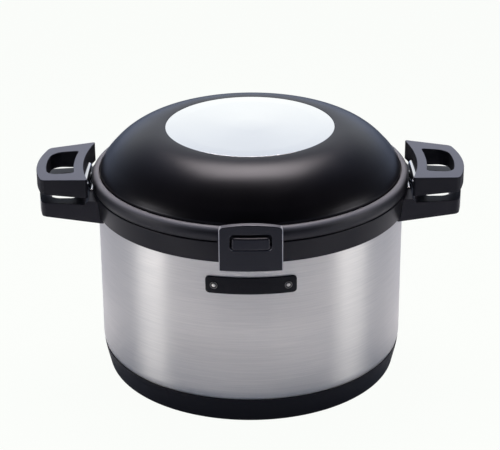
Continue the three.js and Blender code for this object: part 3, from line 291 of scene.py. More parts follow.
# Rolled stainless steel: an even grey sheen, faintly mottled. The rolls' grain is 0.05 mm across,
# drawn here at about 3 mm.
rolled_steel, tree, shader = finish("rolled_stainless_steel", Metallic=1.0)
place = add(tree, "ShaderNodeTexCoord").outputs["Object"]
mill = add(tree, "ShaderNodeTexNoise", Vector=place, Scale=300.0, Detail=2.0).outputs[0]
mottled(tree, shader, mill, colour("#b3b3b6"), colour("#c1c1c3"), 0.24, 0.36)
dressed(rolled_steel, "inner_liner", "vacuum_bottom_plate")

# Base. A shallow polypropylene cup pressed over the shell's foot. It stands on a flat ring, and its
# wall flares to a thin lip that catches the light at the sides.

foot_inner, foot_outer, lip_top = 109.6, 126.2, 23.8


def moulded(name, code, rough, grit, pitted=0.05, ior=1.5):
    """A moulded plastic: its colour, its roughness, and the size and depth of its mould's texture.
    A grit below 0.6 mm would not show and is drawn at that. Its colour and gloss also vary in
    faint clouds, some 30 mm across, where it cooled unevenly."""
    material, tree, shader = finish(name, IOR=ior, Specular_Tint=colour("#eef0ff"))
    place = add(tree, "ShaderNodeTexCoord").outputs["Object"]
    cast = add(tree, "ShaderNodeTexNoise", Vector=place, Scale=1000 / max(grit, 0.6),
               Detail=2.0).outputs[0]
    cloud = add(tree, "ShaderNodeTexNoise", Vector=place, Scale=35.0, Detail=2.0).outputs[0]
    dark, light = ([part * share for part in colour(code)[:3]] + [1] for share in (0.92, 1.08))
    mottled(tree, shader, cloud, dark, light, rough * 0.94, rough * 1.06, cast)
    pits = add(tree, "ShaderNodeBump", Strength=pitted, Distance=0.0001, Height=cast)
    tree.links.new(pits.outputs[0], shader.inputs["Normal"])
    return material


# Polypropylene from a spark-eroded mould: near black and dull, with a wide faint gleam
base_plastic = moulded("textured_polypropylene", "#08060a", 0.44, 0.4, pitted=0.12, ior=1.36)
base = made("base", turned(drawn([
    (0, 1.2), (108.4, 1.2), (foot_inner, 0), (foot_outer, 0),  # underside and standing ring
    (foot_outer, 4, 75, 8), (133.76, 19, 2), (134.46, lip_top, 0.22),  # flare and lip
    (133.96, lip_top), (132.62, 21), (131.76, 19),  # inside, along the steel
    (128.2, 5.2, 1.5), (126.2, 3.2), (0, 3.2)], close=False)), base_plastic)
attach(base, "vessel")
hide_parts("base_cover")

# Shoulder ring. Injection-moulded ABS ring that grips both steel walls at the mouth. Its top has a
# stepped ledge, a recess for each pot bracket, and in front a slot and pocket for the latch.

ring_low, ring_top = 154, 173
ring_low_radius, ring_top_radius, ring_bore = 137.8, 139.45, 126
recess_half, recess_floor = 22, 169.3
pocket_half, slot_half, pocket_floor = 13.6, 8.6, 162.4


def block(low, high):
    """A box between two corners."""
    bm = bmesh.new()
    size = Vector(high) - Vector(low)
    middle = (Vector(high) + Vector(low)) / 2000
    bmesh.ops.create_cube(
        bm, size=1, matrix=Matrix.Translation(middle) @ Matrix.Diagonal((*(size / 1000), 1)))
    return bm


def worked(body, tool, operation="DIFFERENCE"):
    """The body with the tool's shape cut away, or with UNION joined on."""
    shapes = []
    for bm in (body, tool):
        mesh = bpy.data.meshes.new("shape")
        bm.to_mesh(mesh)
        bm.free()
        shapes.append(bpy.data.objects.new("shape", mesh))
        scene.collection.objects.link(shapes[-1])
    step = shapes[0].modifiers.new("step", "BOOLEAN")
    step.operation = operation
    step.solver = "EXACT"
    step.object = shapes[1]
    result = bmesh.new()
    result.from_object(shapes[0], bpy.context.evaluated_depsgraph_get())
    for shape in shapes:
        bpy.data.meshes.remove(shape.data)
    return result


# Satin ABS: dark grey, with soft-edged reflections
band_plastic = moulded("satin_abs", "#0e0e12", 0.32, 0.3, pitted=0.06, ior=1.32)
bm = turned(drawn([
    (135.3, ring_low), (ring_low_radius, ring_low, 0.7), (ring_top_radius, ring_top, 0.9),
    (133.4, ring_top, 0.4), (131.8, 170), (ring_bore, 170, 0.6),  # top and ledge
    (ring_bore, 161.8), (128.9, 161.8), (128.9, 159.9), (129.9, 158.9),  # on the inner wall
    (132.2, 158.9), (134.3, 157.9), (135.3, 155.65)]))  # on the outer wall
bm = worked(bm, block((-146, -recess_half, recess_floor), (146, recess_half, 180)))
bm = worked(bm, block((-pocket_half, -146, pocket_floor), (pocket_half, -127.3, 169)))
bm = worked(bm, block((-slot_half, -137.2, pocket_floor), (slot_half, -134, 180)))
ring = made("shoulder_ring_moulding", bm, band_plastic)
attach(ring, "vessel")
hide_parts("shoulder_ring")

# Vessel handles. Phenolic loops under the pot's own handles, screwed to the steel from inside. Each
# has a raised root with a chamfered front, on which the pot's bracket comes to rest.

seat_gap = 0.3
lower_root, lower_reach = 133, 186.2
lower_low, lower_high, grip_high = 150.3, 170.6, 167.2


def loop_line(inner_radius, inner_half, inner_cut, reach, bow, outer_half, outer_cut):
    """Plan of a loop, drawn as if in the XZ plane: concave towards the vessel, bowed outside."""
    arc_steps = 20
    kept = 0.97  # of a corner's cut, so that it ends short of the arc
    inner = math.asin(inner_half / inner_radius)
    outer = math.asin(outer_half / bow)
    centre = reach - bow
    trim_in, trim_out = inner - inner_cut / inner_radius, outer - outer_cut / bow
    root = (inner_radius * math.cos(inner), inner_half)
    grip = (centre + bow * math.cos(outer), outer_half)
    return drawn([
        (root[0], -root[1], inner_cut * kept),
        (grip[0], -grip[1], outer_cut * kept),
        (centre + bow * math.cos(trim_out), -bow * math.sin(trim_out)),
        (centre, 0, 2 * math.degrees(trim_out), arc_steps),
        (grip[0], grip[1], outer_cut * kept),
        (root[0], root[1], inner_cut * kept),
        (inner_radius * math.cos(trim_in), inner_radius * math.sin(trim_in)),
        (0, 0, -2 * math.degrees(trim_in), arc_steps)])


def pushed(bm, low, high, along="Y"):
    """A drawn outline filled and pushed from low to high along Y, or along Z or X with its drawn
    X and Z laid along X and Y, or along Y and Z."""
    bmesh.ops.remove_doubles(bm, verts=bm.verts, dist=2e-5)
    filled = bmesh.ops.edgeloop_fill(bm, edges=bm.edges[:])
    grown = bmesh.ops.extrude_face_region(bm, geom=filled["faces"])
    moved = [g for g in grown["geom"] if isinstance(g, bmesh.types.BMVert)]
    bmesh.ops.translate(bm, verts=moved, vec=(0, (high - low) / 1000, 0))
    bmesh.ops.translate(bm, verts=bm.verts, vec=(0, low / 1000, 0))
    laid = {"Y": Matrix(),
            "Z": Matrix(((1, 0, 0, 0), (0, 0, 1, 0), (0, 1, 0, 0), (0, 0, 0, 1))),
            "X": Matrix(((0, 1, 0, 0), (1, 0, 0, 0), (0, 0, 1, 0), (0, 0, 0, 1)))}[along]
    bmesh.ops.transform(bm, verts=bm.verts, matrix=laid)
    bmesh.ops.recalc_face_normals(bm, faces=bm.faces)
    return bm


def tilted(bm, side, height, start, end, rise):
    """The vertices above or below a height, lifted evenly along X from nothing at start to rise
    at end."""
    chosen = [v for v in bm.verts if (v.co.z * 1000 > height) == (side == "above")]
    slope = rise / (end - start)
    bmesh.ops.transform(bm, verts=chosen, matrix=Matrix((
        (1, 0, 0, 0), (0, 1, 0, 0), (slope, 0, 1, -slope * start / 1000), (0, 0, 0, 1))))
    return bm


def softened(bm, width, steps=3, chosen=None):
    """Every corner edge, or those chosen, rounded by a width."""
    level, corner = math.radians(0.5), math.radians(35)
    bmesh.ops.dissolve_limit(bm, angle_limit=level, verts=bm.verts, edges=bm.edges)
    sharp = [e for e in bm.edges if len(e.link_faces) == 2
             and e.calc_face_angle() > corner and (chosen is None or chosen(e))]
    bmesh.ops.bevel(bm, geom=sharp, offset=width / 1000, offset_type="OFFSET", segments=steps,
                    profile=0.5, affect="EDGES", clamp_overlap=True, material=-1)
    return bm


def vessel_surround():
    """What the vessel's outside fills, a seat gap larger, to cut the pieces that lie on it."""
    wall, below = shell_radius + seat_gap, ring_low - seat_gap
    edge, above = ring_top_radius + seat_gap, ring_top + seat_gap
    return turned(drawn([
        (0, 130), (wall, 130), (wall, below), (ring_low_radius + seat_gap, below),
        (edge, 172.6), (edge, above), (0, above)], close=False))


def both_sides(bm):
    """A right-hand shape, and the same turned half round for the left."""
    other = bm.copy()
    bmesh.ops.rotate(other, cent=(0, 0, 0), matrix=Matrix.Rotation(math.pi, 3, "Z"),
                     verts=other.verts)
    return ("right", bm), ("left", other)


# Phenolic moulding, filled with wood flour: near black, with a dull even gloss
phenolic = moulded("phenolic_moulding", "#151419", 0.38, 0.5, pitted=0.08, ior=1.35)
outside = loop_line(inner_radius=lower_root, inner_half=46.9, inner_cut=6,
                    reach=lower_reach, bow=150, outer_half=38.9, outer_cut=3)
window = loop_line(inner_radius=155.8, inner_half=29, inner_cut=3,
                   reach=177.6, bow=141.4, outer_half=29, outer_cut=9)
bm = worked(pushed(outside, lower_low, lower_high, "Z"), pushed(window, 140, 175, "Z"))
bm = tilted(bm, "below", 157, lower_root, lower_reach, 4.3)
over_grip = drawn([(143.3, grip_high), (143.3, 167.8), (140.5, lower_high), (140.5, 172),
                   (195, 172), (195, grip_high)])
bm = worked(bm, pushed(over_grip, -60, 60))
bm = worked(bm, block((100, -recess_half, recess_floor), (160, recess_half, 175)))
bm = softened(bm, 0.8)
bm = worked(bm, vessel_surround())
for side, shape in both_sides(bm):
    handle = made(f"lower_handle_{side}", shape, phenolic)
    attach(handle, "vessel")
    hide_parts(f"vessel_handle_{side}")

# Hinge. A moulded nylon block screwed to the shell behind the shoulder ring, with two ears that
# hold a steel pin. The lid's knuckle turns between them.

hinge_y, hinge_z = 141.5, 179
hinge_half, hinge_back, ear_inner, ear_width = 26.5, 146.4, 18.5, 8
pin_radius, pin_bore = 2, 2.2
hinge_screw_x, hinge_screw_z = 12, 164.5


def rod(radius, start, length, axis="Z", steps=48):
    """A round bar from a point along an axis."""
    bm = bmesh.new()
    bmesh.ops.create_cone(bm, cap_ends=True, segments=steps, radius1=radius / 1000,
                          radius2=radius / 1000, depth=length / 1000,
                          matrix=Matrix.Translation((0, 0, length / 2000)))
    turn = {"Z": Matrix(), "Y": Matrix.Rotation(-math.pi / 2, 4, "X"),
            "X": Matrix.Rotation(math.pi / 2, 4, "Y")}[axis]
    bmesh.ops.transform(bm, verts=bm.verts,
                        matrix=Matrix.Translation(Vector(start) / 1000) @ turn)
    return bm


# Nylon filled with glass fibre: charcoal grey and dull, a little cloudy from the fibres
hinge_nylon = moulded("glass_filled_nylon", "#1d1d21", 0.42, 0.5, pitted=0.1)
bm = pushed(drawn([
    (-hinge_half, 157, 4), (hinge_half, 157, 4), (hinge_half, 172.7), (-hinge_half, 172.7)]),
    129, hinge_back)
for side in (-hinge_half, ear_inner):
    ear = pushed(drawn([
        (140.6, 166.7), (hinge_back, 166.7), (hinge_back, hinge_z),
        (hinge_y, hinge_z, 180, 24), (136.6, 173.3), (140.6, 173.3)]), side, side + ear_width, "X")
    bm = worked(bm, ear, "UNION")
bm = softened(bm, 0.6, chosen=lambda e: e.is_convex)
bm = worked(bm, vessel_surround())
bm = worked(bm, rod(pin_bore, (-30, hinge_y, hinge_z), 60, "X"))
for x in (-hinge_screw_x, hinge_screw_x):
    bm = worked(bm, rod(2.9, (x, 144.2, hinge_screw_z), 6, "Y"))
hinge = made("hinge_block", bm, hinge_nylon)
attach(hinge, "vessel")
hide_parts("hinge_bracket")

# Turned steel, left bright, for the pin and the screws: small hard gleams, broken by the tool's
# marks. Those are 0.1 mm apart, drawn here at about 1 mm.
turned_steel, tree, shader = finish("turned_steel", Metallic=1.0)
place = add(tree, "ShaderNodeTexCoord").outputs["Object"]
tool_marks = add(tree, "ShaderNodeTexNoise", Vector=place, Scale=900.0, Detail=1.0).outputs[0]
mottled(tree, shader, tool_marks, colour("#a9a9ad"), colour("#bdbdc0"), 0.22, 0.34)
pin = made("hinge_pin_bar", softened(rod(pin_radius, (-26.2, hinge_y, hinge_z), 52.4, "X"), 0.4),
           turned_steel)
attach(pin, "vessel")
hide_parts("hinge_pin")


def pan_screw(length):
    """A cross-headed screw on the Z axis, its head below the origin and its shank above."""
    head_radius, head_depth, shank_radius, cross_half, cross_width = 2.5, 1.5, 1.3, 1.5, 0.28
    bm = turned(drawn([
        (0, -head_depth), (1.9, -head_depth, 0.6), (head_radius, -0.9, 0.3), (head_radius, 0),
        (shank_radius, 0), (shank_radius, length - 1, 0.2), (0.5, length), (0, length)],
        close=False), 32)
    for x, y in ((cross_half, cross_width), (cross_width, cross_half)):
        bm = worked(bm, block((-x, -y, -2), (x, y, -0.7)))
    return bm


for side, x in (("left", -hinge_screw_x), ("right", hinge_screw_x)):
    bm = pan_screw(13)
    bmesh.ops.transform(bm, verts=bm.verts, matrix=(
        Matrix.Translation(Vector((x, 144.2, hinge_screw_z)) / 1000)
        @ Matrix.Rotation(math.pi / 2, 4, "X")))
    screw = made(f"hinge_screw_{side}_bright", bm, turned_steel)
    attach(screw, "vessel")
    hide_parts(f"hinge_screw_{side}")

# Name plate. Thin enamelled aluminium plate bent to the shell and held by two hollow rivets. It is
# left bare.

plate_half, plate_low, plate_high, plate_thick = 38, 124.8, 139.8, 1.1
plate_bend, rivet_bend = 136.4, 136.7  # from the vessel's axis to its face, and to the rivets
rivet_x, rivet_z = 31, 132.3


def wrapped(bm, radius):
    """A flat piece with its front at y = 0, bent to a radius about the Z axis, facing -Y."""
    facet = 0.0013
    for step in range(-60, 61):
        bmesh.ops.bisect_plane(bm, geom=bm.verts[:] + bm.edges[:] + bm.faces[:], dist=1e-7,
                               plane_co=(step * facet, 0, 0), plane_no=(1, 0, 0))
    for vert in bm.verts:
        vert.co.y = -math.sqrt((radius / 1000 - vert.co.y) ** 2 - vert.co.x ** 2)
    bmesh.ops.recalc_face_normals(bm, faces=bm.faces)
    return bm


def in_front(edge):
    """Whether an edge lies in the front of a flat piece."""
    return all(vert.co.y < 1e-5 for vert in edge.verts)


# Baked enamel over aluminium: black and smooth, with a low soft gloss
enamel = moulded("baked_enamel", "#08090c", 0.26, 0.2, pitted=0.03, ior=1.27)
bm = pushed(drawn([
    (-plate_half, plate_low, 3), (plate_half, plate_low, 3),
    (plate_half, plate_high, 3), (-plate_half, plate_high, 3)]), 0, plate_thick)
for x in (-rivet_x, rivet_x):
    bm = worked(bm, rod(1.5, (x, -2, rivet_z), 5, "Y", 24))
bm = softened(bm, 0.3, 2, in_front)
plate = made("bare_name_plate", wrapped(bm, plate_bend), enamel)
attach(plate, "vessel")
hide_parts("name_plate")

# Nickel-plated rivets: a rolled rim round a dimple, with the mandrel's end bright in it. The
# plate's enamel has run over them, and is worn off the mandrel's end and the crest of the rim.
nickel, tree, shader = finish("enamelled_nickel_plate", Roughness=0.35)
place = add(tree, "ShaderNodeTexCoord").outputs["Object"]
apart = add(tree, "ShaderNodeSeparateXYZ", Vector=place).outputs
either = add(tree, "ShaderNodeMath", {"operation": "ABSOLUTE"}, i0=apart["X"]).outputs[0]
level = add(tree, "ShaderNodeCombineXYZ", X=either, Y=0.0, Z=apart["Z"]).outputs[0]
away = add(tree, "ShaderNodeVectorMath", {"operation": "DISTANCE"}, i0=level,
           i1=(rivet_x / 1000, 0, rivet_z / 1000)).outputs["Value"]
reach = add(tree, "ShaderNodeMapRange", Value=away, From_Max=0.004).outputs[0]
bare = add(tree, "ShaderNodeValToRGB", Fac=reach)
stops = bare.color_ramp.elements
for number, (where, share) in enumerate((
        (0.0, 1.0), (0.35, 1.0), (0.42, 0.0), (0.66, 0.0), (0.72, 0.5), (0.78, 0.0))):
    stop = stops[number] if number < 2 else stops.new(where)
    stop.position = where
    stop.color = (share, share, share, 1)
tarnish = add(tree, "ShaderNodeTexNoise", Vector=place, Scale=500.0, Detail=2.0).outputs[0]
depth = add(tree, "ShaderNodeMapRange", Value=tarnish, **noise_span).outputs[0]
metal = add(tree, "ShaderNodeMix", {"data_type": "RGBA"}, Factor=depth,
            i6=colour("#d4d2ce"), i7=colour("#ebe9e5")).outputs[2]
coat = add(tree, "ShaderNodeMix", {"data_type": "RGBA"}, Factor=bare.outputs[0],
           i6=colour("#08090c"), i7=metal)
tree.links.new(coat.outputs[2], shader.inputs["Base Color"])
tree.links.new(bare.outputs[0], shader.inputs["Metallic"])
for side, x in (("left", -rivet_x), ("right", rivet_x)):
    bm = turned(drawn([
        (0, 0.75), (1.3, 0.65, 0.3),  # the mandrel's end
        (1.7, 0.2), (2.6, 0.15),  # the dimple
        (2.8, 0.6, 0.15), (3.1, 0.6, 0.15), (3.3, 0.3, 0.1), (3.3, 0),  # the rolled rim
        (1.2, 0), (1.2, -1.1), (0, -1.1)], close=False), 48)
    bmesh.ops.transform(bm, verts=bm.verts, matrix=(
        Matrix.Rotation(math.asin(x / rivet_bend), 4, "Z")
        @ Matrix.Translation((0, -rivet_bend / 1000, rivet_z / 1000))
        @ Matrix.Rotation(math.pi / 2, 4, "X")))
    rivet = made(f"rivet_{side}", bm, nickel)
    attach(rivet, "vessel")
    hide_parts(f"plate_rivet_{side}")

# Latch cover. Hollow ABS cap over the latch, screwed from behind the ring and curved with it. Its
# top is arched and its edges are well rounded, so they carry thin bright lines.

cover_bend, cover_deep, cover_wall = 146, 14, 1.8
cover_half, cover_low, cover_shoulder, cover_rise = 26.3, 150.2, 188.3, 3.4
window_half, window_low, window_high, window_cut = 17.3, 168.4, 183.2, 3.4


def painted_top_sheen(material, code, start, full, rough):
    """The plastic painted a lighter colour where it faces up, a painted sheen, and given another
    roughness there, from start to full.
    """
    tree = material.node_tree
    shader = tree.nodes["Principled BSDF"]
    upwards = add(tree, "ShaderNodeSeparateXYZ",
                  Vector=add(tree, "ShaderNodeTexCoord").outputs["Normal"]).outputs["Z"]
    share = add(tree, "ShaderNodeMapRange", {"interpolation_type": "SMOOTHSTEP"},
                Value=upwards, From_Min=start, From_Max=full).outputs[0]
    # Painted sheen: the base colour is lightened where the surface faces up.
    top_sheen_colour = add(tree, "ShaderNodeMix", {"data_type": "RGBA"}, Factor=share,
               i6=shader.inputs["Base Color"].links[0].from_socket, i7=colour(code))
    tree.links.new(top_sheen_colour.outputs[2], shader.inputs["Base Color"])
    smooth = add(tree, "ShaderNodeMix", Factor=share,
                 A=shader.inputs["Roughness"].links[0].from_socket, B=rough)
    tree.links.new(smooth.outputs[0], shader.inputs["Roughness"])
    return material


# ABS from a finely etched mould: dark, with clear highlights. Its top is painted grey as a painted
# highlight, and the two upright edges, where the front turns to the sides, are painted light grey
# as painted highlight lines.
latch_abs = painted_top_sheen(moulded("fine_satin_abs", "#151518", 0.22, 0.3, ior=1.46),
                   "#6a6a70", 0.5, 0.95, 0.22)
tree = latch_abs.node_tree
shader = tree.nodes["Principled BSDF"]
# Painted highlight: where the normal points sideways, the upright edges are painted light grey.
across = add(tree, "ShaderNodeSeparateXYZ",
             Vector=add(tree, "ShaderNodeTexCoord").outputs["Normal"]).outputs["X"]
across = add(tree, "ShaderNodeMath", {"operation": "ABSOLUTE"}, i0=across).outputs[0]
onset = add(tree, "ShaderNodeMapRange", Value=across, From_Min=0.25, From_Max=0.5).outputs[0]
end = add(tree, "ShaderNodeMapRange", Value=across, From_Min=0.99, From_Max=0.9).outputs[0]
edge = add(tree, "ShaderNodeMath", {"operation": "MULTIPLY"}, i0=onset, i1=end).outputs[0]
painted_edge_shine = add(tree, "ShaderNodeMix", {"data_type": "RGBA"}, Factor=edge,
            i6=shader.inputs["Base Color"].links[0].from_socket, i7=colour("#b4b4b8"))
tree.links.new(painted_edge_shine.outputs[2], shader.inputs["Base Color"])


def arched(margin):
    """Front outline of the cover, drawn in by a margin."""
    kept = 0.86  # of the arch, so that its corners have room for their rounds
    half, low, shoulder = cover_half - margin, cover_low + margin, cover_shoulder - margin
    bow = (half ** 2 + cover_rise ** 2) / (2 * cover_rise)
    centre = shoulder + cover_rise - bow
    lean = math.degrees(math.asin(half / bow)) * kept
    return drawn([
        (-half, low, 0.9), (half, low, 0.9), (half, shoulder, 2.2),
        (bow * math.sin(math.radians(lean)), centre + bow * math.cos(math.radians(lean))),
        (0, centre, 2 * lean, 20), (-half, shoulder, 2.2)])


def round_window(edge):
    """Whether an edge in the front runs round the button's window."""
    near = 0.5
    return in_front(edge) and all(
        abs(vert.co.x) * 1000 < window_half + near
        and window_low - near < vert.co.z * 1000 < window_high + near for vert in edge.verts)


bm = worked(pushed(arched(0), 0, cover_deep), pushed(arched(cover_wall), cover_wall, 16))
bm = worked(bm, pushed(drawn([
    (-window_half, window_low, window_cut), (window_half, window_low, window_cut),
    (window_half, window_high, window_cut), (-window_half, window_high, window_cut)]), -2, 4))
bm = softened(bm, 1.3, 4, lambda e: in_front(e) and not round_window(e))
bm = softened(bm, 0.4, 2, round_window)
bm = worked(wrapped(bm, cover_bend), vessel_surround())
under_lid = turned(drawn([(0, 172), (141.2, 172), (141.2, 200), (0, 200)], close=False))
bm = worked(bm, under_lid)
cover = made("latch_cap", bm, latch_abs)
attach(cover, "vessel")
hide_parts("latch_cover")

# Latch button. Push button of ABS with a round all along its face. Behind it are a web that
# keeps it in the cover, two arms with a cross bar, and the nose that holds the lid's striker.

face_bend, face_half, face_low, face_high, face_cut = 146.4, 15.7, 169.2, 179.8, 2.6
web_bend, web_half, web_low, web_high = 143.9, 20, 162.8, 171.3
arm_inner, arm_outer, arm_low, arm_high, bar_back = 9.5, 13, 163.4, 168.4, -130.1

# Polished ABS: a shade lighter than the cover, with a small sharp highlight
button_abs = moulded("polished_abs", "#1c1c21", 0.24, 0.3, pitted=0.03, ior=1.42)
bm = pushed(drawn([
    (-face_half, face_low, face_cut), (face_half, face_low, face_cut),
    (face_half, face_high, face_cut), (-face_half, face_high, face_cut)]), 0, 3.2)
bm = wrapped(softened(bm, 1.3, chosen=in_front), face_bend)
web = wrapped(pushed(drawn([
    (-web_half, web_low, 0.5), (web_half, web_low, 0.5),
    (web_half, web_high, 0.5), (-web_half, web_high, 0.5)]), 0, 1.8), web_bend)
bm = worked(bm, web, "UNION")
for low, high in (((-arm_outer, -142.1, arm_low), (-arm_inner, bar_back, arm_high)),
                  ((arm_inner, -142.1, arm_low), (arm_outer, bar_back, arm_high)),
                  ((-arm_outer, -132.1, arm_low), (arm_outer, bar_back, arm_high)),
                  ((-6, -135.9, 165), (6, -131.1, arm_high))):
    bm = worked(bm, block(low, high), "UNION")
button = made("push_button", bm, button_abs)
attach(button, "latch_button")
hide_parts("latch_button")

# Music wire of the return springs, hidden behind the cover, so the plain parts serve: a grey gleam,
# a little uneven from the drawing die
spring_wire, tree, shader = finish("music_wire", Metallic=1.0, Base_Color=colour("#9c9c9f"))
place = add(tree, "ShaderNodeTexCoord").outputs["Object"]
die_marks = add(tree, "ShaderNodeTexNoise", Vector=place, Scale=1500.0, Detail=1.0).outputs[0]
gleam = add(tree, "ShaderNodeMapRange", Value=die_marks, To_Min=0.25, To_Max=0.4, **noise_span)
tree.links.new(gleam.outputs[0], shader.inputs["Roughness"])
dressed(spring_wire, "latch_spring_left", "latch_spring_right")

# Pot. Deep-drawn pot of 1 mm stainless steel with a rolled-out rim, and a thick disc for the stove
# bonded under it. Its outside is satin from the drawing tool.

pot_sheet, pot_radius, pot_rim = 1, 119.5, 124.5
inner_steps = 192  # facets round the pieces that the lid hides

# Satin stainless steel: a soft gleam crossed by faint rings, which the lathe leaves round the axis,
# on walls and on lids alike. Real rings are 0.1 mm apart, drawn here at about 1.5 mm.
pot_satin, tree, shader = finish("satin_stainless_steel", Metallic=1.0)
place = add(tree, "ShaderNodeTexCoord").outputs["Object"]
level = add(tree, "ShaderNodeVectorMath", {"operation": "MULTIPLY"}, i0=place, i1=(1, 1, 0))
outwards = add(tree, "ShaderNodeVectorMath", {"operation": "LENGTH"}, i0=level.outputs[0])
apart = add(tree, "ShaderNodeSeparateXYZ", Vector=place).outputs
rings = add(tree, "ShaderNodeCombineXYZ", X=outwards.outputs["Value"], Y=apart["Z"], Z=apart["X"])
spaced = add(tree, "ShaderNodeMapping", Vector=rings.outputs[0], Scale=(650, 650, 14)).outputs[0]
lathe_rings = add(tree, "ShaderNodeTexNoise", Vector=spaced, Scale=1.0, Detail=2.0).outputs[0]
mottled(tree, shader, lathe_rings, colour("#b9b9bc"), colour("#c8c8ca"), 0.17, 0.27)
grooved = add(tree, "ShaderNodeBump", Strength=0.08, Distance=0.00005, Height=lathe_rings)
tree.links.new(grooved.outputs[0], shader.inputs["Normal"])

bm = turned(drawn([
    (0, 31.2), (103.5, 31.2), (103.5, 47.2, 90, 12),  # bottom, and the round up from it
    (pot_radius, 172.4, 1.2), (122, 175.2, 1.4), (pot_rim, 175.2)], close=False), inner_steps)
bmesh.ops.solidify(bm, geom=bm.faces[:], thickness=pot_sheet / 1000)
pot = made("cooking_pot", bm, pot_satin)
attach(pot, "vessel")
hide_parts("pot_body")
dressed(rolled_steel, "pot_base")

# Pot brackets. Steel strips spot-welded to the pot. Each goes out over the shoulder ring, up, and
# into its handle, and is polished, so it glints in the gap between the lid and the handle.

strip_half = 20

# Polished stainless steel, buffed lengthwise: it shows the room clearly, a little drawn out. The
# buffing streaks are 0.1 mm apart, drawn here at about 8 mm and some 70 mm long.
polished, tree, shader = finish("polished_stainless_steel", Metallic=1.0)
spaced = add(tree, "ShaderNodeMapping", Scale=(120, 15, 120),
             Vector=add(tree, "ShaderNodeTexCoord").outputs["Object"]).outputs[0]
buffed = add(tree, "ShaderNodeTexNoise", Vector=spaced, Scale=1.0, Detail=2.0).outputs[0]
mottled(tree, shader, buffed, colour("#cfcfd2"), colour("#dededf"), 0.05, 0.1)
bm = pushed(drawn([
    (119.9, 150), (122.1, 150), (122.1, 169.6, 1.9),  # down the pot's wall
    (143.7, 169.6, 4.1), (143.7, 179.1, 1.9),  # under the strip, over the ring
    (152.2, 179.1), (152.2, 181.3), (141.5, 181.3, 4.1),  # the tongue in the handle
    (141.5, 171.8, 1.9), (119.9, 171.8, 4.1)]), -strip_half, strip_half)
bm = softened(bm, 0.25, 2)
for side, shape in both_sides(bm):
    strip = made(f"bracket_strip_{side}", shape, polished)
    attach(strip, "vessel")
    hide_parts(f"pot_bracket_{side}")

# Pot handles. Phenolic loops slotted over the brackets' tongues and screwed from below. Their tops
# fall a little outwards and are rubbed smooth by hands.

upper_root, upper_reach = 147, 188.5
upper_low, upper_high, upper_middle = 173.5, 190.3, 182
handle_screw_x, handle_screw_y = 149.6, 13

# Phenolic moulding: flat black sides, and smoother tops with a soft gloss, painted grey as a
# painted sheen
grip_phenolic = painted_top_sheen(moulded("phenolic_with_painted_top_sheen", "#18181c", 0.72, 0.5, pitted=0.06, ior=1.38),
                       "#5b5e69", 0.5, 0.95, 0.34)
outside = loop_line(inner_radius=upper_root, inner_half=45.4, inner_cut=3,
                    reach=upper_reach, bow=103, outer_half=38.1, outer_cut=3)
window = loop_line(inner_radius=155.6, inner_half=26, inner_cut=3,
                   reach=179.9, bow=94.4, outer_half=26, outer_cut=9)
bm = worked(pushed(outside, upper_low, upper_high, "Z"), pushed(window, 165, 200, "Z"))
bm = tilted(bm, "above", upper_middle, upper_root, upper_reach, -2.9)
bm = tilted(bm, "below", upper_middle, upper_root, upper_reach, 1)
bm = softened(bm, 0.8)
bm = worked(bm, block((130, -20.3, 178.8), (152.5, 20.3, 181.6)))
for y in (-handle_screw_y, handle_screw_y):
    bm = worked(bm, rod(2.9, (handle_screw_x, y, 170), 5.8, steps=32))
    bm = worked(bm, rod(1.7, (handle_screw_x, y, 175), 9.3, steps=24))
for side, shape in both_sides(bm):
    handle = made(f"upper_handle_{side}", shape, grip_phenolic)
    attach(handle, "vessel")
    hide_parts(f"pot_handle_{side}")
for side, x in (("left", -handle_screw_x), ("right", handle_screw_x)):
    for end, y in (("front", -handle_screw_y), ("rear", handle_screw_y)):
        bm = pan_screw(9)
        bmesh.ops.translate(bm, verts=bm.verts, vec=(x / 1000, y / 1000, 0.1755))
        screw = made(f"handle_screw_{side}_{end}", bm, turned_steel)
        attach(screw, "vessel")
        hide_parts(f"pot_handle_screw_{side}_{end}")

# Pot lid and knob. Pressed steel lid with a plug step that sits inside the pot, and a phenolic knob
# on one screw from below.

lid_sheet = 0.8
bm = turned(drawn([
    (123.9, 177.3), (117.4, 177.3, 0.8),  # the rim on the pot
    (115.8, 172.9, 0.9), (112.2, 172.9, 1.5),  # the plug step
    (60, 181.5, 30), (11.8, 183.5, 6), (0, 183.5)], close=False), inner_steps)
bmesh.ops.solidify(bm, geom=bm.faces[:], thickness=lid_sheet / 1000)
pot_cover = made("pressed_pot_lid", bm, pot_satin)
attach(pot_cover, "vessel")
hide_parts("pot_lid")

knob_low, knob_top = 183.8, 203.8
knob = made("turned_knob", turned(drawn([
    (0, knob_low), (11, knob_low, 0.4), (11, 187.4, 0.8), (9, 190.2, 2),  # foot and neck
    (18, 196.2, 2.5), (20.5, 200.2, 1.6), (18.45, 202.4, 1.2),  # the grip
    (11.3, knob_top, 4), (0, knob_top)], close=False), 96), phenolic)
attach(knob, "vessel")
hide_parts("pot_lid_knob")
dressed(turned_steel, "pot_lid_knob_screw")

# Lid ring. Satin ABS ring that closes on the shoulder ring. It carries the hinge's knuckle behind,
# the striker tongue in front, and a narrow groove round the dome.

rim_low, rim_foot, rim_top, groove_radius = 173.6, 178, 181, 133.4
striker_half, striker_window_half, knuckle_half = 8, 6.3, 18
